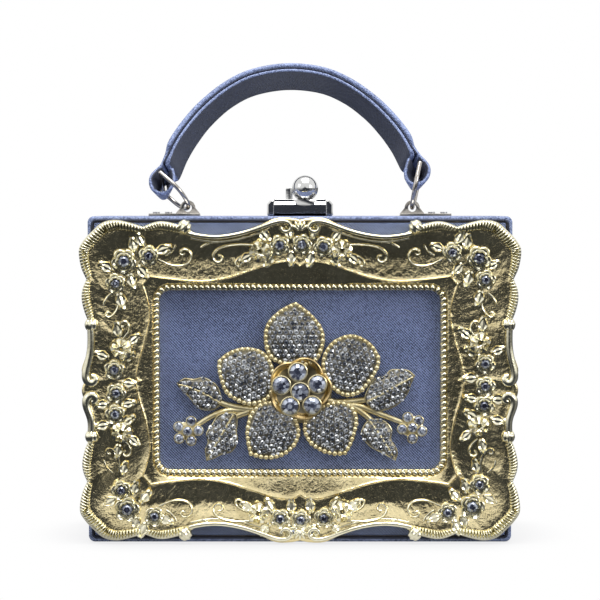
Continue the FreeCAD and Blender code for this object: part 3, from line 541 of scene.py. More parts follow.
def white_paper():
    """Floor paper: to the camera a clear film with a contact shade, so that a half opened below it stays in view."""
    paper = bpy.data.materials.new("white_paper")
    paper.use_nodes = True
    tree = paper.node_tree
    tree.nodes.clear()
    ray = add(tree, "ShaderNodeLightPath")
    matt = add(tree, "ShaderNodeBsdfDiffuse", {"Color": (0.4, 0.4, 0.4, 1)}).outputs[0]
    glow = add(tree, "ShaderNodeEmission", {"Color": WHITE, "Strength": 0.52}).outputs[0]
    lit = add(tree, "ShaderNodeAddShader", {0: matt, 1: glow}).outputs[0]
    nearness = add(tree, "ShaderNodeAmbientOcclusion", {"Distance": 0.05}, samples=12).outputs["AO"]
    shade = ramp(tree, nearness, [(0.25, (0.80, 0.80, 0.81)), (0.85, (1.0, 1.0, 1.0))])
    film = add(tree, "ShaderNodeBsdfTransparent", {"Color": shade}).outputs[0]
    clear = add(tree, "ShaderNodeBsdfTransparent").outputs[0]
    over = number(tree, "SUBTRACT", 1.0, add(tree, "ShaderNodeNewGeometry").outputs["Backfacing"])
    where = add(tree, "ShaderNodeTexCoord").outputs["Object"]
    middle = add(tree, "ShaderNodeMapping", {"Vector": where, "Location": (0, -0.065, 0), "Scale": (1, 1.3, 1)})
    reach = add(tree, "ShaderNodeVectorMath", {0: middle.outputs["Vector"]}, operation="LENGTH").outputs["Value"]
    close_by = number(tree, "SUBTRACT", 1.0, between_limits(tree, reach, *MIRRORED_FLOOR, 1.0))
    mirrored = number(tree, "MULTIPLY", number(tree, "MULTIPLY", in_mirrors(tree, ray), close_by), over)
    bounced = number(tree, "MULTIPLY", ray.outputs["Is Diffuse Ray"], over)
    seen = passing(tree, ray.outputs["Is Camera Ray"], clear, film)
    seen = passing(tree, bounced, seen, matt)
    seen = passing(tree, mirrored, seen, lit)
    add(tree, "ShaderNodeOutputMaterial", {"Surface": seen})
    return paper


def surround():
    """White to the camera; in mirrors bright behind, above and at the left of the bag, and dim elsewhere."""
    world = bpy.data.worlds.new("studio")
    bpy.context.scene.world = world
    world.use_nodes = True
    tree = world.node_tree
    tree.nodes.clear()
    ray = add(tree, "ShaderNodeLightPath")
    way = add(tree, "ShaderNodeTexCoord").outputs["Generated"]
    right, back, up = add(tree, "ShaderNodeSeparateXYZ", {"Vector": way}).outputs
    left = number(tree, "MULTIPLY", right, -1.0)
    behind = between_limits(tree, back, 0.93, 0.99, 1.0)
    aside = number(tree, "MULTIPLY", number(tree, "ABSOLUTE", right, 0), between_limits(tree, up, 0.0, 0.12, 1.2))
    above = between_limits(tree, number(tree, "ADD", up, aside), 0.16, 0.40, 1.0)
    left_glow = number(tree, "MULTIPLY", between_limits(tree, left, 0.22, 0.5, 0.7),
                       between_limits(tree, up, -0.3, 0.1, 1.0))
    right_glow = between_limits(tree, right, 0.45, 0.8, 0.14)
    bright = behind
    for glow in (above, left_glow, right_glow):
        bright = number(tree, "MAXIMUM", bright, glow)
    shine = tinted(tree, bright, (0.042, 0.048, 0.060, 1), WHITE)
    tone = tinted(tree, in_mirrors(tree, ray), (0.38, 0.38, 0.38, 1), shine)
    tone = tinted(tree, ray.outputs["Is Camera Ray"], tone, WHITE)
    sky = add(tree, "ShaderNodeBackground", {"Color": tone, "Strength": 1.0})
    add(tree, "ShaderNodeOutputWorld", {"Surface": sky.outputs[0]})


def stage():
    """Pale floor, white surround, soft lamps over and before the bag, and the camera."""
    bpy.context.scene.view_settings.view_transform = "Standard"
    deselect()
    bpy.ops.mesh.primitive_plane_add(size=FLOOR_SIZE, location=(0, 0, 0))
    floor = bpy.context.object
    floor.name = "studio_floor"
    floor.data.materials.append(white_paper())
    surround()
    for name, place, aim, size, power in LAMPS:
        lamp = bpy.data.lights.new(name, "AREA")
        lamp.size = size
        lamp.energy = power
        holder = bpy.data.objects.new(name, lamp)
        bpy.context.collection.objects.link(holder)
        holder.location = place
        holder.rotation_euler = (Vector(aim) - Vector(place)).to_track_quat("-Z", "Y").to_euler()
    lens = bpy.data.cameras.new("camera")
    lens.sensor_width = 36.0
    lens.lens = LENS
    lens.clip_start = 0.05
    eye = bpy.data.objects.new("camera", lens)
    bpy.context.collection.objects.link(eye)
    eye.location = EYE
    eye.rotation_euler = (math.radians(90 - EYE_DOWN), 0, 0)
    bpy.context.scene.camera = eye


# Cast frame

RIM_TOP = [
    [(0, 75.4), (4.6, 76.3), (11.6, 76.1), (19.6, 72.7), (31.2, 69.0), (42.8, 68.0), (50.3, 69.7)],
    [(50.3, 69.7), (57.7, 72.9), (65.9, 74.2), (73.6, 71.7)],
    [(73.6, 71.7), (80.3, 73.8), (86.6, 74.9), (92.3, 73.6), (96.9, 69.7)],
]
RIM_SIDE = [
    [(96.9, 69.7), (100.6, 65.8), (103.0, 61.2), (102.0, 53.4), (99.5, 47.6)],
    [(99.5, 47.6), (101.4, 42.7), (101.7, 37.7), (100.1, 31.3), (97.6, 26.2)],
    [(97.6, 26.2), (97.6, 21.6), (98.9, 15.1), (102.3, 5.5), (101.0, 0)],
]
RIDGE_TOP = [[(0, 53.7), (4.1, 55.7), (11.8, 55.0), (23.5, 51.4), (34.9, 48.1), (46.6, 46.6), (62.4, 47.9),
              (70.3, 48.9)], [(70.3, 48.9), (72.0, 46.9)]]
RIDGE_SIDE = [[(72.0, 46.9), (73.8, 44.9)],
              [(73.8, 44.9), (70.8, 35.2), (70.5, 28.9), (72.6, 18.5), (75.7, 7.8), (76.7, 1.4), (74.7, 0)]]
WINDOW = (65.8, 42.0)
WINDOW_ROUND = 5.0
TOP_POINTS = 140
SIDE_POINTS = 104
RIB_PITCH = 1.5
SEAT_GROWTH = 3.4
OFF_MOULDING = -38.0
# Rings of the moulding: growth, share or distance in the face, then depth.
WALL_RINGS = ((0.2, FACE - 0.05), (0.2, -37.2), (0.5, -37.5), (3.0, -37.5))
SLOPE_SHARES = (0.0, 0.1, 0.24, 0.40, 0.56, 0.72, 0.86)
RIDGE_RINGS = ((-0.36, -40.6), (-0.22, -40.68), (-0.08, -40.74), (0.04, -40.7), (0.14, -40.5), (0.3, -40.16),
               (0.7, -40.04))
COVE_RINGS = ((0.09, -40.0), (0.15, -39.95), (0.21, -39.9), (0.27, -39.85), (0.33, -39.8), (0.38, -39.75),
              (0.42, -39.73), (0.45, -39.78), (0.48, -39.88), (0.54, -40.13), (0.60, -40.4), (0.66, -40.68),
              (0.72, -40.97), (0.78, -41.26), (0.84, -41.5))
RIM_RINGS = ((2.9, -41.4), (2.3, -41.6), (1.7, -41.7), (1.0, -41.7), (0.4, -41.5), (0.0, -41.0), (0.0, -39.0),
             (0.5, -36.0), (1.2, FACE - 0.05))
HAMMERED = 0.16
DISH_PLACE = (86.0, -44.0)
DISH_REACH = 17.0
DISH_EDGE = -41.5


def chained(parts, count):
    """Several smooth lines end to end as evenly spaced points."""
    line = []
    for part in parts:
        line += smooth_line([(x, 0, z) for x, z in part], 60)[1 if line else 0:]
    return evenly(line, count)


def quarter(top, side):
    """A quarter of a line round the frame, from the middle of the top to the middle of the right side."""
    return chained(top, TOP_POINTS) + chained(side, SIDE_POINTS)[1:]


def window_quarter(grow):
    """A quarter of the window's outline, grown all round."""
    wide, high, bend = WINDOW[0] + grow, WINDOW[1] + grow, WINDOW_ROUND + grow
    arc = [(wide - bend + bend * math.sin(a), 0, high - bend + bend * math.cos(a))
           for a in [math.pi / 2 * i / 16 for i in range(17)]]
    top = [Vector((0, 0, high))] + [Vector(p) for p in arc[:9]]
    side = [Vector(p) for p in arc[8:]] + [Vector((wide, 0, 0))]
    return evenly(top, TOP_POINTS) + evenly(side, SIDE_POINTS)[1:]


def all_round(points):
    """A quarter mirrored to the whole way round, clockwise from the top."""
    right_low = [Vector((p.x, p.y, -p.z)) for p in reversed(points)]
    left_low = [Vector((-p.x, p.y, -p.z)) for p in points]
    left_high = [Vector((-p.x, p.y, p.z)) for p in reversed(points)]
    return points[:-1] + right_low[:-1] + left_low[:-1] + left_high[:-1]


def ring_at(points, depth, crumple=0.0, dish=0.0):
    """A ring of the frame at one depth, a little uneven where it is hammered and dished in its lower corners."""
    made = []
    for p in all_round(points):
        rough = noise.noise(Vector((p.x * 0.35, 3.0, p.z * 0.35))) + 0.5 * noise.noise(Vector((p.x, 9.0, p.z)))
        away = Vector((abs(p.x) - DISH_PLACE[0], 0, p.z - DISH_PLACE[1])).length
        deeper = dish * math.exp(-(away / DISH_REACH) ** 2)
        made.append(Vector((p.x, depth + crumple * rough + deeper, FRAME_MIDDLE + p.z)))
    return made


def between(a, b, share):
    """A line some share of the way from one line to another."""
    return [p.lerp(q, share) for p, q in zip(a, b)]


def off_line(a, b, distance):
    """A line moved some millimetres from one line towards another."""
    return [p + (q - p).normalized() * distance for p, q in zip(a, b)]


def frame_moulding():
    """The frame's body: window wall, rope seat, smooth slope, thin ridge, hammered cove and rolled rim."""
    rim = quarter(RIM_TOP, RIM_SIDE)
    ridge = quarter(RIDGE_TOP, RIDGE_SIDE)
    seat = window_quarter(SEAT_GROWTH)
    rings = [ring_at(window_quarter(growth), depth) for growth, depth in WALL_RINGS]
    for share in SLOPE_SHARES:
        slope = ring_at(between(seat, ridge, share), -39.1 - 1.3 * share ** 0.85, 0.05 if share else 0.0)
        for p in slope:
            p.y -= 0.95 * (1 - share) * ease(abs(p.x), 63.0, 70.0)
        rings.append(slope)
    for distance, depth in RIDGE_RINGS:
        side = off_line(ridge, rim, distance) if distance > 0 else off_line(ridge, seat, -distance)
        rings.append(ring_at(side, depth, HAMMERED))
    for share, depth in COVE_RINGS:
        rings.append(ring_at(between(ridge, rim, share), depth, HAMMERED, 1.3 * (depth - DISH_EDGE)))
    for distance, depth in RIM_RINGS:
        rings.append(ring_at(off_line(rim, ridge, distance), depth))
    return loft(rings, round_trip=True)


stage()
moulding = frame_moulding()


def surface(x, z):
    """How far forward the moulding lies at a place on the face."""
    hit, place, normal, face = moulding.ray_cast(on_face(x, z, BEFORE_ALL), BACKWARD)
    return place.y if hit else OFF_MOULDING


def set_in(x, z, sink, size, turn):
    """The place of a small piece made about Z that faces the front, sunk into the moulding or standing off it."""
    spot = on_face(x, z, surface(x, z) + sink)
    return Matrix.Translation(spot) @ Matrix.Rotation(turn, 4, "Y") @ TO_FRONT @ Matrix.Scale(size, 4)


# Cast ornament of the frame

ROLL_LINE = [(52, 68.9), (43, 66.6), (31.5, 67.6), (20.5, 70.9), (13, 74.0), (8, 75.0), (4.6, 73.9), (3.8, 71.2),
             (6.0, 69.3), (8.8, 70.0), (9.0, 72.0)]
THIN_LINE = [(51, 66.8), (42, 64.6), (31, 65.4), (21.5, 68.0), (15, 70.4)]
UPPER_HOOK = [(97.9, 24), (97.5, 17), (98.4, 10.6), (100.2, 4.8), (100.4, 0.9), (98.4, -1.5), (95.6, -0.7),
              (95.5, 2.0), (97.6, 2.2)]
LOWER_HOOK = [(97.9, -24), (97.5, -20), (98.4, -16), (100.2, -12.0), (100.2, -8.5), (98.0, -6.3), (95.6, -7.2),
              (95.7, -9.8), (97.6, -10.0)]
ROLL_DEPTH, THIN_DEPTH, HOOK_DEPTH = -42.7, -41.6, -42.0
HOOK_TAPER = [0.9, 0.95, 1.0, 1.05, 1.1, 1.1, 1.0, 0.9, 0.7]
BALL_DEPTH = -41.3
RIM_BALLS = ((54.0, 72.0, 3.4, 0.9), (97.6, 26.3, 3.3, 1.5))
LOBE_DEPTH, LOBE_FOOT = -41.3, -40.4
ROPE_BEADS = 160
ROPE_SLANT = 32
ROPE_DEPTH = -38.7
LARGE, MIDDLING, SMALL = 2.8, 2.25, 1.3
STONES = [
    (-82.4, 56.0, LARGE), (-70.8, 58.5, MIDDLING), (-86.4, 45.6, MIDDLING),
    (83.8, 57.4, LARGE), (71.4, 60.1, MIDDLING), (86.9, 47.3, MIDDLING),
    (-81.3, -60.8, LARGE), (-84.2, -52.0, MIDDLING), (-68.4, -64.0, MIDDLING),
    (81.1, -59.5, LARGE), (84.6, -49.4, MIDDLING), (69.4, -62.2, MIDDLING),
    (-9.5, 63.4, MIDDLING), (0.9, 63.8, MIDDLING), (11.0, 62.7, MIDDLING),
    (-9.3, -65.2, MIDDLING), (0.4, -65.7, MIDDLING), (11.2, -64.9, MIDDLING),
    (-3.5, -71.4, SMALL), (5.4, -70.7, SMALL),
    (-87.1, 5.0, MIDDLING), (-86.3, -6.0, MIDDLING), (-86.7, -15.9, MIDDLING),
    (86.9, 7.8, MIDDLING), (86.9, -2.8, MIDDLING), (86.5, -11.8, MIDDLING),
]
ROSES = [(-83.7, 14.8), (-83.7, -24.4), (84.2, 17.8), (83.8, -21.4), (-18.6, 60.4), (19.6, 60.7), (-19.6, -62.4),
         (19.8, -61.6)]
ROSE_SIZE = 4.0
SHELL_PLACE, SHELL_DEPTH = 70.2, -41.8
CORNER_LEAVES = [(-77.6, 61.0, 10), (-66.5, 60.6, -70), (-88.2, 52.0, 62), (-75.5, 53.0, -140), (-79.5, 49.2, -165),
                 (-84.5, 40.0, 195), (-73.5, 63.6, 25)]
TOP_LEAVES = [(-13.0, 59.2, 150), (-4.1, 60.0, 180), (5.2, 59.6, 170), (15.1, 58.6, 210), (23.2, 58.6, 230),
              (15.5, 66.0, -40), (-15.0, 66.2, 40), (-23.0, 58.8, 120), (6.0, 67.0, -15), (-4.5, 67.0, 15)]
SIDE_LEAVES = [(-83.0, 9.8, -60), (-90.5, 11.0, 70), (-82.6, -1.0, -95), (-90.4, -11.0, 95), (-82.8, -11.2, -80),
               (-83.0, -20.0, -60), (-90.2, -20.6, 100), (-85.2, 21.2, 8), (-79.6, 18.0, -50), (-85.4, -31.0, 172),
               (-79.8, -27.0, -130)]
CORNER_SCROLLS = [
    [(-66.4, 56.8), (-61.2, 54.1), (-56.6, 53.4), (-51.9, 54.8), (-50.2, 58.4), (-52.4, 61.8), (-55.6, 61.6),
     (-56.6, 59.4), (-55.0, 58.6), (-53.9, 59.6)],
    [(-85.6, 41.0), (-84.6, 36.0), (-86.4, 31.6), (-89.6, 29.2), (-91.4, 30.6), (-90.6, 32.4), (-89.0, 31.8)],
    [(-19.0, 63.0), (-26.0, 64.0), (-34.0, 63.6), (-39.8, 61.4), (-41.4, 57.4), (-38.6, 54.8), (-35.8, 56.6),
     (-36.6, 59.0), (-38.4, 58.6)],
    [(-20.0, 59.8), (-25.6, 59.4), (-30.0, 57.0), (-30.6, 53.9), (-28.0, 53.2), (-27.0, 55.2), (-28.4, 56.0)],
]
SIDE_SCROLLS = [
    [(-83.6, 19.0), (-80.6, 22.0), (-79.4, 25.6), (-81.8, 28.4), (-84.6, 27.2), (-84.2, 25.0), (-82.6, 25.4)],
    [(-83.6, -27.8), (-80.4, -30.2), (-79.0, -33.4), (-80.8, -36.2), (-83.6, -35.6), (-83.4, -33.4), (-81.9, -33.6)],
]
SHORT_TENDRILS = [
    [(-63.0, 58.6), (-59.0, 60.6), (-58.2, 63.6)],
    [(-46.4, 62.4), (-42.6, 65.2), (-38.0, 65.0)],
    [(-88.2, 41.0), (-91.6, 38.6), (-92.0, 35.0)],
]


def gadrooned_lobe(line, widest, side):
    """A feathered roll along a stretch of the rim, with slanted ribs."""
    rings = []
    length = length_of(line)
    for i, p in enumerate(line):
        along = heading(line, i)
        inward = Vector((along.z, 0, -along.x)) * side
        share = i / (len(line) - 1)
        half = widest * (0.5 + 0.5 * math.sin(math.pi * share) ** 0.7)
        ring = []
        for k in range(9):
            a = -1 + 2 * k / 8
            phase = math.pi * (share * length / RIB_PITCH + 0.42 * a)
            tooth = (max(abs(math.cos(phase)) - 0.3, 0) / 0.7) ** 0.5
            rib = 1 - (0.3 + 0.6 * ease(a, -0.6, 0.2)) * (1 - tooth)
            rise = (0.9 + half * 0.55) * max(1 - a * a, 0) ** 0.4 * rib
            place = p + inward * (half * (1 + a) * 0.98 - 0.45)
            ring.append(on_face(place.x, place.z, LOBE_DEPTH - rise))
        for a in (0.5, -0.5):
            place = p + inward * (half * (1 + a))
            ring.append(on_face(place.x, place.z, LOBE_FOOT))
        rings.append(ring)
    return loft(rings)


def rim_rolls():
    """Feathered rolls round the four corners, three to a corner."""
    lobes = []
    corner = RIM_TOP[2] + RIM_SIDE[0][1:]
    for x_side, z_side in FOUR_CORNERS:
        for part, widest in ((RIM_TOP[1], 2.3), (corner, 2.9), (RIM_SIDE[1], 2.2)):
            line = smooth_line([(x, 0, z) for x, z in part], 40)
            line = evenly(line, int(length_of(line) / RIB_PITCH * 8))
            line = [Vector((p.x * x_side, 0, p.z * z_side)) for p in line]
            lobes.append(gadrooned_lobe(line, widest, x_side * z_side))
    hand_over(joined(lobes), "frame_rim_rolls", smooth_gold, angle=70)


def rim_scrolls():
    """Smooth rolled lines between the balls that end in curls, and fat hooks at the middle of each side."""
    lines = []
    for x_side in (1, -1):
        for z_side in (1, -1):
            for points, thick, end, depth in ((ROLL_LINE, 1.1, 0.8, ROLL_DEPTH), (THIN_LINE, 0.6, 0.6, THIN_DEPTH)):
                run = [on_face(x * x_side, z * z_side, depth) for x, z in points]
                lines.append(wire(run, thick, [1 - (1 - end) * i / (len(run) - 1) for i in range(len(run))]))
        for points in (UPPER_HOOK, LOWER_HOOK):
            lines.append(wire([on_face(x * x_side, z, HOOK_DEPTH) for x, z in points], 1.9, HOOK_TAPER))
    hand_over(joined(lines), "frame_rim_scrolls", smooth_gold, angle=60)


def window_rope():
    """Slanted beads round the window."""
    line = all_round(window_quarter(1.7))
    line = evenly(line + line[:1], ROPE_BEADS + 1)
    places = []
    for p, following in zip(line, line[1:]):
        along = following - p
        slant = Matrix.Rotation(-math.atan2(along.z, along.x) - math.radians(ROPE_SLANT), 4, "Y")
        shape = Matrix.Diagonal((1.12, 1.35, 1.72, 1))
        places.append(Matrix.Translation(on_face(p.x, p.z, ROPE_DEPTH)) @ slant @ shape)
    hand_over(copies(bead(10, 8), places), "window_rope", smooth_gold, angle=60)


def rim_balls():
    """Ribbed balls where the rolls end."""
    heights = [-1 + i / 12 for i in range(25)]
    ball = turned([(max(math.sqrt(1 - h * h), 0.05) * (1 + 0.07 * math.cos(9 * h)), h) for h in heights], 22)
    places = []
    for x_side, z_side in FOUR_CORNERS:
        for x, z, radius, turn in RIM_BALLS:
            turned_to = Matrix.Rotation(turn * x_side * z_side, 4, "Y")
            places.append(Matrix.Translation(on_face(x * x_side, z * z_side, BALL_DEPTH)) @ turned_to
                          @ Matrix.Scale(radius, 4))
    hand_over(copies(ball, places), "rim_balls", smooth_gold, angle=70)


def stone_cups():
    """Lobed cups with a rolled rim that hold the frame's stones."""
    cup = turned([(1.45, -0.9), (1.82, -0.3), (1.98, 0.12), (1.96, 0.30), (1.86, 0.36), (1.72, 0.22), (1.46, -0.02),
                  (1.22, 0.02), (1.09, 0.24), (1.02, 0.44), (0.97, 0.44), (0.94, 0.1), (0.5, -0.1)], 50, 5, 0.2)
    places = [set_in(x, z, -0.5 * radius, radius, any_turn()) for x, z, radius in STONES]
    hand_over(copies(cup, places), "stone_cups", smooth_gold, angle=50)


def paint_facet_light(piece, count, low, high, sparkle, scatter=0.2, table=0.34):
    """Paints each facet of cut stones its own brightness, near to that of its stone: painted reflection, with painted
    shade on its table and painted glints on a few facets.
    """
    light = piece.data.attributes.new("fire", "FLOAT", "FACE")
    each = len(piece.data.polygons) // count
    for i, face in enumerate(piece.data.polygons):
        if i % each == 0:
            stone = chance.uniform(low, high)
        # Painted reflection per facet; the table, facing the front, is darkened by table as painted shade.
        share = stone + chance.uniform(-scatter, scatter) - (table if face.normal.y < -0.94 else 0.0)
        # Painted glints: a share of the facets is painted near to white.
        light.data[i].value = chance.uniform(0.85, 1.0) if chance.random() < sparkle else max(share, 0.0)
    return piece


def hand_over_stones(pattern, places, name, finish, node, **fire):
    """Copies a stone to its places, gives its facets their painted light and hands them all over."""
    stones = paint_facet_light(copies(pattern, places), len(places), **fire)
    hand_over(stones, name, finish, stands_for=[node], angle=1)


def large_stone():
    """A round cut stone about Z, girdle at height 0 and radius 1: table, crown facets and a short point below."""
    stone = crown(8, 0.55, 0.42)
    pick(stone, "EDGE", lambda edge: abs(edge.verts[0].co.z - edge.verts[1].co.z) > 0.2)
    bpy.ops.mesh.bevel(offset=0.17, segments=1, affect="EDGES")
    pick(stone, "FACE", lambda face: face.normal.z < -0.9)
    bpy.ops.mesh.extrude_region_move(TRANSFORM_OT_translate={"value": (0, 0, -0.25)})
    bpy.ops.transform.resize(value=(0.6, 0.6, 1.0))
    pick(stone, "FACE", lambda face: face.normal.z > 0.9)
    bpy.ops.mesh.inset(thickness=0.24)
    tidy_skin()
    close()
    return stone


def frame_stones():
    """The stones in the frame's cups."""
    places = [set_in(x, z, -0.66 * radius, radius, any_turn()) for x, z, radius in STONES]
    hand_over_stones(large_stone(), places, "frame_gems", clear_stone, "frame_stones", low=0.3, high=0.6, sparkle=0.1)


def rose_petal():
    """One cupped petal of a cast rose, standing beside its middle."""
    petal = grid(6, 4)
    for vertex in petal.data.vertices:
        across, out = vertex.co.x, (vertex.co.y + 1) / 2
        width = 0.95 * math.sin(math.pi * (0.18 + 0.68 * out))
        curl = 0.22 * max(out - 0.6, 0) / 0.4
        vertex.co = (across * width, 0.3 + 0.95 * out - 0.28 * across * across * out,
                     0.75 - 0.6 * out + 0.35 * (1 - out) + curl + 0.16 * across * across)
    return finish_with(petal, "SOLIDIFY", thickness=0.13, offset=0.0)


def roses():
    """Cast roses: an outer ring of petals, an inner ring and a bud."""
    parts = []
    for count, size, lift, start in ((5, 1.0, 0.0, 0.0), (4, 0.62, 0.25, 0.5), (3, 0.34, 0.42, 0.2)):
        for i in range(count):
            turn = Matrix.Rotation(math.tau * i / count + start, 4, "Z")
            parts.append(Matrix.Translation((0, 0, lift)) @ turn @ Matrix.Scale(size, 4))
    rose = copies(rose_petal(), parts)
    places = [set_in(x, z, -0.1, ROSE_SIZE, any_turn()) for x, z in ROSES]
    hand_over(copies(rose, places), "cast_roses", smooth_gold, angle=50)


def cast_leaf():
    """A small pointed leaf along +Y, lightly roofed along a crease from its foot to its tip, standing on Z = 0."""
    leaf = grid(4, 10)
    for vertex in leaf.data.vertices:
        across, out = vertex.co.x, (vertex.co.y + 1) / 2
        width = 0.80 * (1 - abs(2 * out ** 0.85 - 1)) ** 0.85 + 0.02
        roof = {0: 0.2, 1: 0.03, 2: 0.18}[round(abs(across) * 2)]
        vertex.co = (across * width, out * 2.3 - 0.2, 0.36 + roof + 0.5 * (out - 0.4) ** 2)
    return finish_with(leaf, "SOLIDIFY", thickness=0.34, offset=-1.0)


def leaf_sprigs():
    """Small cast leaves round the stones and roses, mirrored to every side."""
    spots = []
    for x, z, turn in CORNER_LEAVES:
        spots += [(x, z, turn), (-x, z + 1.2, -turn)]
        spots += [(x + 1.0, -z - 4.0, 180 - turn), (-x - 1.0, -z - 3.0, turn - 180)]
    for x, z, turn in TOP_LEAVES:
        spots += [(x, z, turn), (x, -z - 1.8, 180 - turn)]
    for x, z, turn in SIDE_LEAVES:
        spots += [(x, z, turn), (-x, z + 2.4, -turn)]
    places = [set_in(x, z, 0.25, chance.uniform(2.6, 3.1), math.radians(-turn)) for x, z, turn in spots]
    hand_over(copies(cast_leaf(), places), "leaf_sprigs", smooth_gold, angle=14)


def scroll_tendrils():
    """Thin curling tendrils, mirrored to the right and, but for those at the sides, below."""
    lines = []
    for scrolls, z_sides in ((CORNER_SCROLLS, (1, -1)), (SIDE_SCROLLS, (1,)), (SHORT_TENDRILS, (1, -1))):
        for points in scrolls:
            for x_side, z_side in [(x_side, z_side) for z_side in z_sides for x_side in (1, -1)]:
                drop = 0 if z_side > 0 else -2.6
                run = []
                for x, z in points:
                    x, z = x * x_side, z * z_side + drop
                    run.append(on_face(x, z, surface(x, z) - 0.3))
                taper = [0.75 + 0.45 * math.sin(math.pi * i / (len(run) - 1)) for i in range(len(run))]
                lines.append(wire(run, 0.62, taper, 8, 1))
    hand_over(joined(lines), "scroll_tendrils", smooth_gold, angle=60)


def rim_shells():
    """Small fans in the notches at the middle of the top and bottom rims."""
    places = []
    for z_side in (1, -1):
        for i in range(5):
            turn = math.radians(-56 + 28 * i) + (0 if z_side > 0 else math.pi)
            tip = Matrix.Translation(on_face(0, SHELL_PLACE * z_side, SHELL_DEPTH)) @ Matrix.Rotation(turn, 4, "Y")
            places.append(tip @ Matrix.Translation((0, 0, 2.6)) @ Matrix.Diagonal((0.85, 0.9, 2.4, 1)))
    hand_over(copies(bead(10, 6), places), "rim_shells", smooth_gold, angle=60)


rim_rolls()
rim_scrolls()
window_rope()
rim_balls()
stone_cups()
frame_stones()
roses()
leaf_sprigs()
scroll_tendrils()
rim_shells()
hand_over(moulding, "frame_moulding", frame_gold, stands_for=["picture_frame"], angle=60)


# Flower brooch

PETALS = {
    "petal_top": [(-1.9, 42.5), (3.3, 38.7), (8.3, 33.7), (11.2, 28.7), (11.7, 23.7), (10.4, 18.6), (7.5, 14.0),
                  (-1.3, 11.5), (-10.4, 13.4), (-14.7, 16.4), (-16.8, 22.0), (-17.0, 28.3), (-15.1, 33.3),
                  (-10.1, 38.3), (-5.1, 41.2)],
    "petal_left": [(-38.7, 14.9), (-34.3, 18.6), (-27.6, 21.0), (-20.9, 20.6), (-15.9, 18.0), (-12.4, 12.0),
                   (-11.8, 5.0), (-13.4, -2.0), (-17.6, -5.4), (-24.3, -6.4), (-30.1, -4.3), (-35.2, -0.6),
                   (-37.8, 6.1), (-38.9, 11.1)],
    "petal_right": [(37.7, 16.6), (34.4, 22.0), (29.2, 25.8), (24.2, 27.2), (18.8, 26.0), (14.0, 22.8), (10.8, 17.6),
                    (10.0, 12.5), (11.0, 7.0), (14.4, 2.0), (18.4, -1.2), (22.5, -2.4), (28.4, -0.8), (32.4, 3.6),
                    (35.8, 8.6), (37.6, 13.0)],
    "petal_lower_left": [(-23.9, -29.8), (-25.3, -23.2), (-25.5, -17.3), (-23.4, -9.8), (-18.6, -5.2), (-12.4, -4.2),
                         (-6.8, -6.4), (-3.0, -9.8), (-0.9, -14.0), (0.2, -19.0), (-0.9, -23.4), (-3.4, -27.0),
                         (-7.1, -29.8), (-11.7, -31.5), (-18.0, -31.6)],
    "petal_lower_right": [(21.7, -29.6), (16.7, -30.0), (10.8, -28.6), (5.8, -25.7), (2.9, -22.3), (1.4, -18.1),
                          (1.8, -13.6), (4.8, -9.6), (9.4, -6.6), (14.0, -4.8), (19.0, -4.4), (23.6, -5.6),
                          (26.2, -8.9), (27.4, -13.5), (26.3, -19.0), (24.4, -24.8)],
}
LEAVES = {
    "leaf_left_upper": (
        [(-58.1, 4.0), (-54.4, 6.5), (-50.2, 6.1), (-45.6, 6.9), (-41.8, 5.3), (-38.5, 2.3), (-36.8, -3.9),
         (-39.3, -8.1), (-44.8, -8.9), (-48.9, -6.9), (-52.7, -2.3), (-56.1, 1.1)],
        [(-57.0, 3.4), (-51.0, 2.4), (-45.2, -0.4), (-37.4, -5.4)]),
    "leaf_left_lower": (
        [(-44.2, -32.8), (-44.8, -27.3), (-43.5, -24.0), (-44.3, -19.8), (-41.8, -15.6), (-38.5, -10.8),
         (-34.3, -9.8), (-30.1, -10.2), (-29.3, -14.0), (-29.7, -19.0), (-29.3, -23.2), (-31.8, -28.2),
         (-36.8, -29.8), (-40.2, -31.5)],
        [(-43.4, -31.4), (-39.4, -24.6), (-35.4, -17.6), (-31.2, -10.8)]),
    "leaf_right_upper": (
        [(54.3, 7.8), (51.0, 10.3), (47.6, 10.7), (42.6, 10.5), (39.7, 7.6), (34.8, 6.1), (30.8, -0.6), (30.6, -4.8),
         (35.1, -9.4), (40.1, -8.9), (44.3, -7.3), (47.6, -4.8), (51.0, -0.6), (52.4, 3.6)],
        [(53.2, 7.0), (46.0, 3.4), (39.6, -0.6), (31.8, -4.6)]),
    "leaf_right_lower": (
        [(45.1, -32.8), (39.3, -29.4), (32.6, -25.7), (28.8, -20.6), (29.2, -17.3), (32.0, -13.5), (36.7, -12.7),
         (40.9, -14.4), (43.4, -18.1), (43.0, -22.3), (45.1, -25.7), (46.1, -29.0)],
        [(44.4, -31.4), (40.6, -25.0), (36.8, -18.8), (32.8, -13.9)]),
}
FLORETS = {
    "floret_left": [(-52.9, -18.6), (-57.1, -16.5), (-51.2, -13.9), (-47.9, -18.3), (-51.2, -23.1), (-56.9, -22.0)],
    "floret_right": [(53.0, -16.9), (50.7, -12.1), (55.8, -13.6), (57.4, -18.6), (52.9, -22.0), (48.1, -17.6)],
}
CENTER_STONES = [(-1.0, 9.6), (-8.8, 3.4), (8.2, 3.9), (0.1, 0.3), (-4.7, -6.4), (5.7, -6.0)]
STEMS = [
    [(-12, -4), (-20, -8.6), (-28, -9.2), (-36, -8.4), (-43, -12), (-50, -17)],
    [(-22, -8.4), (-30, -7.8), (-36, -6.2), (-40, -4.0)],
    [(-24, -9.4), (-28, -10.4), (-33, -13.6)],
    [(12, -4), (20, -6.0), (28, -6.4), (36, -10), (44, -13), (50, -15.4)],
    [(18, -5.2), (26, -4.6), (33, -4.0), (37, -2.0)],
    [(24, -6.6), (30, -9.6), (35, -15.0)],
]
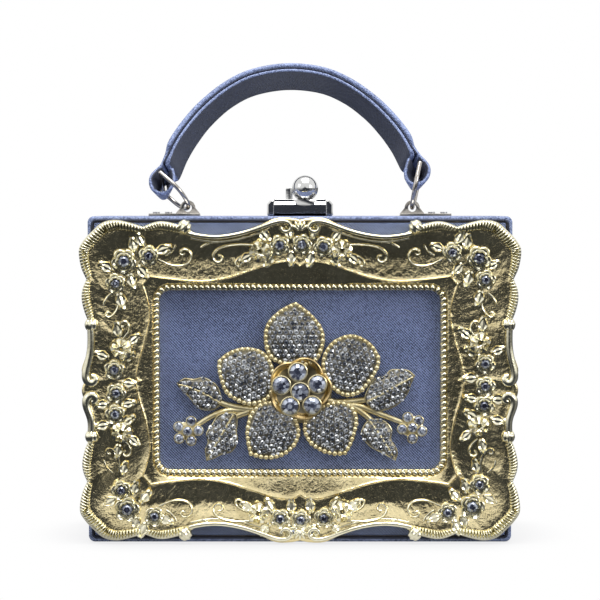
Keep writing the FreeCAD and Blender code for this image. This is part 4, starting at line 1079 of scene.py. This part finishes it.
# A petal's and a leaf's plate: points round its edge, depth of its foot and edge, rise of its dome.
PETAL_PLATE = (64, -37.1, -39.5, 1.5)
LEAF_PLATE = (72, -36.9, -38.6, 1.1)
FLORET_STONE = 2.3
FLORET_MIDDLE, FLORET_ROUND = -38.9, -38.5
CENTER_CUP, CENTER_CUP_DEPTH = 4.3, -42.3
CENTER_STONE, CENTER_STONE_DEPTH = 4.35, -42.4
BEAD_PITCH = 2.4
BEAD_DEPTH = -39.75
STEM_DEPTH = -36.9
SMALL_STONE_LIFT = 0.16


def on_brooch(x, z, y):
    """A place counted from the brooch's middle."""
    return on_face(x, z, y, BROOCH_MIDDLE.z)


def edge_line(points, count):
    """The outline of a petal or leaf as evenly spaced points, with a corner at its tip."""
    line = smooth_line([(x, 0, z) for x, z in points + points[:1]], count + 1)
    return line[:-1]


def shrunk(line, share):
    """An outline drawn in towards its middle."""
    middle = sum(line, Vector()) / len(line)
    return [middle.lerp(p, share) for p in line]


def turned_on_brooch(profile, steps, x, z, lobes=0, lobe_depth=0.0):
    """A round piece about the depth at a place on the brooch, from (radius, depth) pairs."""
    piece = turned(profile, steps, lobes, lobe_depth)
    piece.data.transform(Matrix.Translation(on_brooch(x, z, 0)) @ HEIGHT_TO_DEPTH)
    return piece


def domed_plate(points, count, foot, edge, dome):
    """A cast petal or leaf: a rounded edge with a low dome inside."""
    line = edge_line(points, count)
    rings = []
    for share, depth in (
            (0.93, foot), (0.985, foot - 0.3), (1.0, edge + 0.5), (0.985, edge + 0.12), (0.95, edge),
            (0.91, edge + 0.12), (0.88, edge + 0.1), (0.78, edge - 0.35 * dome), (0.64, edge - 0.62 * dome),
            (0.48, edge - 0.82 * dome), (0.30, edge - 0.95 * dome), (0.12, edge - dome)):
        rings.append([on_brooch(p.x, p.z, depth) for p in shrunk(line, share)])
    return loft(rings)


def inside(line, p):
    """Whether a place lies within an outline."""
    odd = False
    for a, b in zip(line, line[1:] + line[:1]):
        if (a.z > p.z) != (b.z > p.z) and p.x < (b.x - a.x) * (p.z - a.z) / (b.z - a.z) + a.x:
            odd = not odd
    return odd


def pave_spots(plate, line, pitch, turn):
    """Even rows of places on a plate with the way that each one faces, and the gaps between them."""
    spots, gaps = [], []
    middle = sum(line, Vector()) / len(line)
    rows = 16
    lift = pitch * math.sqrt(3) / 2
    for row in range(-rows, rows + 1):
        for step in range(-rows, rows + 1):
            for found, shift_x, shift_z in ((spots, 0, 0), (gaps, pitch / 2, lift / 3)):
                x = (step + (row % 2) / 2) * pitch + shift_x
                z = row * lift + shift_z
                p = Vector((x * math.cos(turn) - z * math.sin(turn), 0, x * math.sin(turn) + z * math.cos(turn)))
                p += middle
                if found is spots:
                    p += Vector((chance.uniform(-0.26, 0.26), 0, chance.uniform(-0.26, 0.26)))
                if not inside(line, p):
                    continue
                hit, place, normal, face = plate.ray_cast(on_brooch(p.x, p.z, BEFORE_ALL), BACKWARD)
                if hit and normal.y < -0.5:
                    found.append((place, normal))
    return spots, gaps


def hand_over_plate(plate, name, field):
    """Marks the field that a plate's small stones are set in as dark, and hands the plate over."""
    for face in plate.data.polygons:
        if face.normal.y < 0 and inside(field, face.center - BROOCH_MIDDLE):
            face.material_index = 1
    hand_over(plate, "brooch_" + name, [brooch_gold, dark_setting_and_painted_shade], stands_for=[name], angle=45)


def petals():
    """Domed petals with beaded edges; gives the places of their small stones and of the prongs between."""
    beads, spots, gaps = [], [], []
    for index, (name, points) in enumerate(PETALS.items()):
        plate = domed_plate(points, *PETAL_PLATE)
        line = edge_line(points, 240)
        edge = shrunk(line, 0.925)
        run = evenly(edge + edge[:1], int(length_of(edge) / BEAD_PITCH) + 1)
        for i, p in enumerate(run[:-1]):
            size = 1.17 + 0.09 * math.sin(2.4 * i + index)
            shape = Matrix.Diagonal((size, 0.95 * size, size, 1))
            beads.append(Matrix.Translation(on_brooch(p.x, p.z, BEAD_DEPTH)) @ shape)
        found = pave_spots(plate, shrunk(line, 0.86), 2.55, 0.4 * index)
        spots += found[0]
        gaps += found[1]
        hand_over_plate(plate, name, shrunk(line, 0.89))
    hand_over(copies(bead(10, 7), beads), "petal_edge_beads", brooch_gold, angle=60)
    return spots, gaps


def leaves():
    """Domed leaves with a vein; gives the places of their small stones and of the prongs between."""
    veins, spots, gaps = [], [], []
    for index, (name, (points, vein)) in enumerate(LEAVES.items()):
        plate = domed_plate(points, *LEAF_PLATE)
        line = edge_line(points, 160)
        found = pave_spots(plate, shrunk(line, 0.94), 2.5, 0.7 * index)
        spots += found[0]
        gaps += found[1]
        run = []
        for x, z in vein:
            hit, place, normal, face = plate.ray_cast(on_brooch(x, z, BEFORE_ALL), BACKWARD)
            run.append(on_brooch(x, z, (place.y if hit else -38.4) - 0.45))
        veins.append(wire(run, 0.55, [0.6, 1, 1, 1.2], 6, 1))
        hand_over_plate(plate, name, shrunk(line, 0.93))
    hand_over(joined(veins), "leaf_veins", brooch_gold, angle=60)
    return spots, gaps


def standing_on(place, normal, size):
    """The place of a small piece about Z that stands a little off a surface."""
    face = normal.to_track_quat("Z", "Y").to_matrix().to_4x4()
    spin = Matrix.Rotation(any_turn(), 4, "Z")
    return Matrix.Translation(place + normal * SMALL_STONE_LIFT) @ face @ spin @ Matrix.Scale(size, 4)


def small_stone():
    """A set stone of a few facets, its girdle at height 0 and radius 1."""
    stone = crown(7, 0.5, 0.5)
    pick(stone, "FACE", lambda face: face.normal.z < -0.9)
    bpy.ops.mesh.extrude_region_move(TRANSFORM_OT_translate={"value": (0, 0, -0.3)})
    pick(stone, "FACE", lambda face: face.normal.z > 0.9)
    bpy.ops.mesh.poke(offset=0.04)
    close()
    return stone


def pave():
    """Petals and leaves set with rows of small stones, and prongs between them."""
    petal_spots, petal_gaps = petals()
    leaf_spots, leaf_gaps = leaves()
    for name, spots, node in (("petal_gems", petal_spots, "petal_pave"), ("leaf_gems", leaf_spots, "leaf_pave")):
        places = [standing_on(place, normal, chance.uniform(1.0, 1.26)) for place, normal in spots]
        hand_over_stones(small_stone(), places, name, pave_stone, node, low=0.28, high=0.76, sparkle=0.14)
    prongs = [standing_on(place, normal, 0.36) for place, normal in petal_gaps + leaf_gaps]
    hand_over(copies(bead(6, 4), prongs), "gem_prongs", steel, angle=60)


def collet():
    """A stone's metal cup about Z for a stone of radius 1, its rim at height 0."""
    return turned([(0.55, -0.75), (0.86, -0.75), (1.0, -0.45), (1.1, 0.0), (1.08, 0.12), (1.0, 0.16), (0.94, 0.08),
                   (0.9, -0.3), (0.3, -0.35)], 20)


def florets():
    """Small flowers of six set stones on a lobed back, the middle one a little higher."""
    gems = []
    for name, spots in FLORETS.items():
        sockets = []
        for x, z in spots:
            lift = FLORET_MIDDLE if (x, z) == spots[0] else FLORET_ROUND
            tip = Matrix.Translation(on_brooch(x, z, lift)) @ TO_FRONT
            sockets.append(tip @ Matrix.Scale(FLORET_STONE, 4))
            gems.append(tip @ Matrix.Rotation(any_turn(), 4, "Z") @ Matrix.Scale(FLORET_STONE, 4))
        cups = copies(collet(), sockets)
        back = turned_on_brooch([(3.0, -36.0), (4.6, -36.2), (4.8, -36.9), (4.2, -37.4), (2.0, -37.5)], 30,
                                *spots[0], 5, 0.2)
        hand_over(joined([cups, back]), "brooch_" + name, brooch_gold, stands_for=[name], angle=45)
    hand_over_stones(large_stone(), gems, "floret_gems", clear_stone, "floret_stones", low=0.4, high=0.75,
                     sparkle=0.22, scatter=0.3, table=0.12)


def back_and_stems():
    """The brooch's round back plate and the stems that carry leaves and florets."""
    pieces = [turned_on_brooch([(4, -35.05), (14.6, -35.05), (15, -35.6), (14.8, -36.6), (13, -37.2), (4, -37.2)],
                               60, 0, 0)]
    for points in STEMS:
        taper = [1.25 - 0.45 * i / (len(points) - 1) for i in range(len(points))]
        pieces.append(wire([on_brooch(x, z, STEM_DEPTH) for x, z in points], 1.5, taper, 8, 2))
    hand_over(joined(pieces), "brooch_back_and_stems", brooch_gold, stands_for=["brooch_base"], angle=45)


def bowl():
    """The bowl at the brooch's middle with six large stones in their cups."""
    dish = turned_on_brooch([(6, -37.2), (11.4, -37.2), (13.2, -38.6), (14.3, -40.4), (14.3, -41.0), (13.8, -41.3),
                             (13.2, -41.1), (12.2, -40.0), (11.2, -39.4), (5, -39.2)], 80, 0, 1.6, 5, 0.13)
    # Painted shade: the bowl's flat floor between the cups takes the dark finish.
    for face in dish.data.polygons:
        face.material_index = 1 if face.normal.y < -0.9 and face.center.y > -39.6 else 0
    hand_over(dish, "brooch_bowl", [bowl_gold_painted_reflection, dark_setting_and_painted_shade], stands_for=["brooch_center"], angle=45)
    sockets, gems = [], []
    for x, z in CENTER_STONES:
        cup = Matrix.Translation(on_brooch(x, z, CENTER_CUP_DEPTH)) @ TO_FRONT
        seat = Matrix.Translation(on_brooch(x, z, CENTER_STONE_DEPTH)) @ TO_FRONT
        sockets.append(cup @ Matrix.Scale(CENTER_CUP, 4))
        gems.append(seat @ Matrix.Rotation(any_turn(), 4, "Z") @ Matrix.Scale(CENTER_STONE, 4))
    hand_over(copies(collet(), sockets), "bowl_cups", brooch_gold, angle=45)
    hand_over_stones(large_stone(), gems, "center_gems", clear_stone, "center_stones", low=0.42, high=0.62,
                     sparkle=0.2, scatter=0.34, table=0.1)


pave()
florets()
back_and_stems()
bowl()


# Handle

BAR_LEFT = Vector((-67.753, 8.49, 170.694))
BAR_RIGHT = Vector((58.519, 8.49, 175.652))
BOW_LEFT = Vector((-62.634, 8.49, 165.920))
BOW_RIGHT = Vector((57.064, 8.49, 168.805))
HALF_ARCH = [(0, 56.5), (17.0, 53.9), (29.8, 47.2), (40.8, 37.3), (48.5, 27.5), (54.2, 18.1), (57.8, 9.8),
             (60.0, 5.6)]
LEFT_LOOP = [(1.5, 5.6), (-1.2, 2.6), (-3.1, 0.2), (-3.5, -2.4), (-2.8, -5.0), (-0.4, -7.0), (2.4, -6.4), (4.0, -3.6),
             (4.4, -0.8), (4.1, 1.8), (3.4, 4.2)]
RIGHT_LOOP = [(1.4, 5.6), (-1.1, 2.6), (-2.7, 0.0), (-2.7, -3.2), (-1.0, -6.0), (2.0, -7.6), (4.6, -6.2), (5.2, -3.4),
              (4.8, -0.8), (4.2, 1.8), (3.4, 4.2)]
LEAN = math.radians(-26)
STRAP_WIDTH = 18.0
LOOP_WIDTH = 14.0


def leaned(piece):
    """Leans a piece of the upright handle back to where it rests."""
    axis = (BOW_RIGHT - BOW_LEFT).normalized()
    turn = Matrix.Rotation(LEAN, 4, axis)
    piece.data.transform(Matrix.Translation(BOW_LEFT) @ turn @ Matrix.Translation(-BOW_LEFT))
    return piece


def outward(along):
    """The way out of the arch, square to its line."""
    return Vector((-along.z, 0, along.x))


def arch_line(rise, count, half=HALF_ARCH):
    """The handle's upright arch from left to right, some millimetres outside the face where its straps meet."""
    along = (BAR_RIGHT - BAR_LEFT).normalized()
    foot = (BAR_LEFT + BAR_RIGHT) / 2
    spots = [(-x, z) for x, z in reversed(half[1:])] + half
    line = smooth_line([foot + along * x + outward(along) * z for x, z in spots], count)
    return [p + outward(heading(line, i)) * rise for i, p in enumerate(line)]


def strap_section(p, along, width, thick, twist):
    """A strap's rounded section across its line."""
    out = outward(along)
    across = BACKWARD * math.cos(twist) + out * math.sin(twist)
    out = out * math.cos(twist) - BACKWARD * math.sin(twist)
    ring = []
    edge = thick / 2
    half = width / 2 - edge
    for side in (1, -1):
        ring += [p + across * (half * k * side) + out * (edge * side * (1 + 0.06 * (1 - k * k)))
                 for k in (-0.8, -0.4, 0.0, 0.4, 0.8, 0.93)]
        for i in range(7):
            turn = math.pi / 2 - math.pi * i / 6
            bulge = 1.12 if abs(turn) < 1.2 else 1.0
            reach = half + edge * math.cos(turn) * bulge
            ring.append(p + across * (reach * side) + out * (edge * math.sin(turn) * side))
    return ring


def strap(line, width_at, thick_at):
    """A strap along a line, its back edge turned inward towards the ends."""
    rings = []
    top = max(p.z for p in line)
    for i, p in enumerate(line):
        share = i / (len(line) - 1)
        twist = math.radians(-4.6 - 11 * ease(top - p.z, 2, 50))
        rings.append(strap_section(p, heading(line, i), width_at(share), thick_at(share), twist))
    return loft(rings)


def off_ends(share, start, end):
    """Nothing at both ends of a strap, rising to one along its middle."""
    return ease(share, start, end) * ease(1 - share, start, end)


def outer_strap():
    """The outer strap with a hanging loop round each ring's bar."""
    left = [BAR_LEFT + Vector((x, 0, z)) for x, z in LEFT_LOOP]
    right = [BAR_RIGHT + Vector((-x, 0, z)) for x, z in RIGHT_LOOP]
    line = smooth_line(left[::-1] + arch_line(1.7, 40, HALF_ARCH[:-1]) + right, 220)
    piece = strap(line, lambda share: LOOP_WIDTH + (STRAP_WIDTH - LOOP_WIDTH) * off_ends(share, 0.155, 0.18),
                  lambda share: 1.8 + 0.9 * off_ends(share, 0.14, 0.2))
    # Painted shade: loop faces that face a ring's bar take the dark strap sheet.
    for face in piece.data.polygons:
        for bar in (BAR_LEFT, BAR_RIGHT):
            to_bar = Vector((bar.x - face.center.x, 0, bar.z - face.center.z))
            if to_bar.length < 7.5 and face.normal.dot(to_bar.normalized()) > 0.5:
                face.material_index = 1
    hand_over(leaned(piece), "handle_outer_strap_sewn", [strap_blue_painted_light, strap_painted_shade], "handle",
              ["handle_outer_strap"], 50)


def inner_strap():
    """The inner strap with blue edges and an underside in painted shade, and a dark strip of painted shade between
    both straps.
    """
    # Painted shade: a dark strip between the straps stands in for the shade in their gap.
    gap_shade = strap(arch_line(-0.02, 121), lambda share: STRAP_WIDTH - 0.3, lambda share: 0.7)
    hand_over(leaned(gap_shade), "handle_seam_line", gap_and_groove_painted_shade, "handle", angle=50)

    def width_at(share):
        return (STRAP_WIDTH - 0.5) * (0.86 + 0.14 * off_ends(share, 0, 0.012))

    def thick_at(share):
        fold = 2 - ease(share, 0.015, 0.04) - ease(1 - share, 0.015, 0.04)
        return (1.7 + 0.7 * fold) * (0.35 + 0.65 * off_ends(share, 0, 0.01))

    piece = strap(arch_line(-1.15, 121), width_at, thick_at)
    middle = (BAR_LEFT + BAR_RIGHT) / 2
    # Painted shade: the underside, facing in under the arch, takes the dark strap sheet.
    for face in piece.data.polygons:
        inward = (middle - face.center).normalized()
        face.material_index = 1 if face.normal.dot(Vector((inward.x, 0, inward.z))) > 0.8 else 0
    hand_over(leaned(piece), "handle_inner_strap_sewn", [strap_blue_painted_light, strap_painted_shade], "handle",
              ["handle_inner_strap"], 50)


outer_strap()
inner_strap()


# Painted shade: dark cords laid in the grooves between the rolled edge and the flat panels

def panel_groove_shade(name, depth, body, lift):
    """A dark cord laid in the groove round a panel, as painted shade of the groove."""
    wide, low, high, bend = 98.05, 1.95, 152.05, 2.2
    points = []
    for x, z, start in ((wide, high, 0), (wide, low, -90), (-wide, low, 180), (-wide, high, 90)):
        corner = Vector((x - math.copysign(bend, x), depth + lift, z - math.copysign(bend, z - FRAME_MIDDLE)))
        for step in range(5):
            turn = math.radians(90 + start - 22.5 * step)
            points.append(corner + bend * Vector((math.cos(turn), 0, math.sin(turn))))
    line = []
    for a, b in zip(points, points[1:] + points[:1]):
        steps = max(int((b - a).length / 6), 1)
        line += [a.lerp(b, i / steps) for i in range(steps)]
    hand_over(wire(line, 0.62, steps=2, rim=2, closed=True), name, gap_and_groove_painted_shade, body, angle=60)


panel_groove_shade("front_panel_seam", FACE, "front_half", 0.3)
panel_groove_shade("back_panel_seam", -FACE, "back_half", -0.3)


# Clasp and lugs

SADDLE_HALF = 12.6
SADDLE_FRONT = -12.6
SADDLE_BACK = -0.6
SADDLE_TOP = 161.9
WALL_BACK = -11.8
NOTCH_X, NOTCH_Z, NOTCH_RADIUS = 2.4, 165.4, 6.7


def softened(node, name, width, finish, body, segments=3):
    """A node's own shape with its sharp edges rounded or, with one segment, chamfered."""
    deselect()
    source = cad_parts[node]
    piece = bpy.data.objects.new(name, source.data.copy())
    bpy.context.collection.objects.link(piece)
    piece.data.transform(Matrix.Scale(1 / MM, 4))
    edit(piece)
    bpy.ops.mesh.select_all(action="SELECT")
    bpy.ops.mesh.remove_doubles(threshold=1e-3)
    bpy.ops.mesh.dissolve_limited(angle_limit=math.radians(1))
    close()
    finish_with(piece, "BEVEL", width=width, segments=segments, limit_method="ANGLE",
                angle_limit=math.radians(35))
    return hand_over(piece, name, finish, body, [node], 35)


def prism(outline, start, end, along_x):
    """A bar with an outline of (y, z) pairs along X, or else of (x, z) pairs along Y."""
    return loft([[(at, a, z) if along_x else (a, at, z) for a, z in outline] for at in (start, end)])


def saddle_wall():
    """The saddle's low front wall, with a lip that the lever tips behind and a notch for its ball."""
    rings = []
    for i in range(57):
        x = -SADDLE_HALF + 2 * SADDLE_HALF * i / 56
        dip = NOTCH_RADIUS ** 2 - (x - NOTCH_X) ** 2
        top = NOTCH_Z - math.sqrt(dip) if dip > 0 else 170.0
        step, lip = (-11.4, -10.9) if top > 160.6 else (-11.65, -11.5)
        section = [(SADDLE_FRONT, TOP, 0), (SADDLE_FRONT, 159.5, 0), (step, 160.9, 0.01), (step, SADDLE_TOP, 0.02),
                   (lip, SADDLE_TOP, 0.02), (lip, 161.1, -0.1), (WALL_BACK, 160.1, -0.2), (WALL_BACK, TOP, 0)]
        rings.append([(x, y, min(z, top + lift)) for y, z, lift in section])
    return loft(rings)


def clasp_saddle():
    """Chrome saddle: base, front wall and two cheeks with cut corners."""
    base = [(SADDLE_FRONT, TOP), (SADDLE_FRONT, TOP + 1.2), (SADDLE_BACK, TOP + 1.2), (SADDLE_BACK, TOP)]
    parts = [prism(base, -SADDLE_HALF, SADDLE_HALF, True), saddle_wall()]
    for side in (1, -1):
        outline = [(12.2, TOP), (15.9, TOP), (15.9, 159.7), (13.9, SADDLE_TOP), (12.2, SADDLE_TOP)]
        cheek = prism([(x * side, z) for x, z in outline], -13.0, SADDLE_BACK, False)
        parts.append(finish_with(cheek, "BEVEL", width=0.7, segments=1, limit_method="ANGLE",
                                 angle_limit=math.radians(60)))
    hand_over(joined(parts), "clasp_saddle", chrome, "front_half", ["clasp_bracket"], 30)


def return_spring():
    """The clasp's return spring: a coil of wire with a mesh of its own."""
    middle, low, high, bend, turns = Vector((-6.605, -8.2, 0)), 155.5, 158.1, 1.75, 5
    line = []
    for i in range(turns * 12 + 1):
        turn = math.tau * i / 12
        rise = low + (high - low) * i / (turns * 12)
        line.append(middle + Vector((bend * math.cos(turn), bend * math.sin(turn), rise)))
    spring = hand_over(wire(line, 0.25, steps=3, rim=1), "clasp_return_spring", steel, "front_half",
                       ["clasp_spring"], 60)
    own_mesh(spring)


clasp_saddle()
return_spring()
softened("clasp_lever", "clasp_tongue", 1.4, chrome, "clasp_lever", 1)
softened("catch_plate", "catch_with_tab", 0.35, chrome, "back_half")
softened("lug_left", "lug_left_polished", 0.35, ring_nickel, "back_half")
softened("lug_right", "lug_right_polished", 0.35, ring_nickel, "back_half")


# Slip pocket of the lining

POCKET_HALF = 60.0
POCKET_LOW = 15.0
POCKET_TALL = 70.0


def pocket_depth(x, z):
    """How far back the pocket's cloth lies: sewn down at its sides and foot, a little slack at its mouth."""
    slack = max(1 - (x / POCKET_HALF) ** 4, 0) * max((z - POCKET_LOW) / POCKET_TALL, 0) ** 0.8
    return 29.6 - 1.0 * slack


def slip_pocket():
    """Flat pocket sewn to the back lining, with a rolled hem along its mouth and stitches round the rest."""
    cloth = grid(40, 24)
    for vertex in cloth.data.vertices:
        x = vertex.co.x * POCKET_HALF
        z = POCKET_LOW + POCKET_TALL * (vertex.co.y + 1) / 2
        vertex.co = (x, pocket_depth(x, z), z)
    finish_with(cloth, "SOLIDIFY", thickness=0.5, offset=0.0)
    edit(cloth)
    tidy_skin()
    close()
    top = POCKET_LOW + POCKET_TALL
    spots = [-POCKET_HALF + 2 * POCKET_HALF * i / 24 for i in range(25)]
    hem = wire([Vector((x, pocket_depth(x, top) - 0.15, top - 0.4)) for x in spots], 0.55, steps=3)
    places = []
    for x, z, turn in ([(side * (POCKET_HALF - 2), POCKET_LOW + 2 + 3 * i, 0) for side in (1, -1) for i in range(22)]
                       + [(-POCKET_HALF + 4 + 3 * i, POCKET_LOW + 2, 90) for i in range(38)]):
        spin = Matrix.Rotation(math.radians(turn), 4, "Y")
        shape = Matrix.Diagonal((0.22, 0.2, 1.0, 1))
        places.append(Matrix.Translation((x, pocket_depth(x, z) - 0.3, z)) @ spin @ shape)
    stitches = copies(bead(6, 6), places)
    hand_over(cloth, "slip_pocket_cloth", lining, "back_half", ["inner_pocket"], 50)
    hand_over(hem, "slip_pocket_hem", lining, "back_half", angle=60)
    hand_over(stitches, "slip_pocket_stitches", strap_blue_painted_light, "back_half", angle=60)


slip_pocket()


# Carried-over nodes of the frame take their finishes

def dress(finish, *nodes):
    """Gives nodes of the frame one finish."""
    for name in nodes:
        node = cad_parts[name]
        node.data.materials.clear()
        node.data.materials.append(finish)


dress(panel_blue_painted_shade, "front_cover", "front_panel", "back_cover", "back_panel")
# The edge beads take the lighter strap sheet: painted light of the top strip.
dress(strap_blue_painted_light, "front_edge_bead", "back_edge_bead")
dress(board, "front_shell", "back_shell")
dress(lining, "front_lining", "back_lining", "inner_pocket")
dress(chrome, "front_rim", "back_rim", "clasp_bracket", "clasp_lever", "clasp_ball", "catch_plate")
dress(ring_nickel, "lug_left", "lug_right", "ring_left", "ring_right")
dress(steel, "front_hinge_leaf", "back_hinge_leaf", "front_hinge_rivets", "back_hinge_rivets", "hinge_pin",
      "frame_screws", "brooch_screws", "clasp_pin", "clasp_spring", "clasp_screws", "ball_screw", "lug_rivets",
      "lug_plates", "catch_rivets")
dress(brooch_gold, "brooch_base", "brooch_center", *PETALS, *LEAVES, *FLORETS)
dress(pave_stone, "petal_pave", "leaf_pave", "center_stones", "floret_stones")
dress(strap_blue_painted_light, "handle_outer_strap")
dress(strap_painted_shade, "handle_inner_strap")
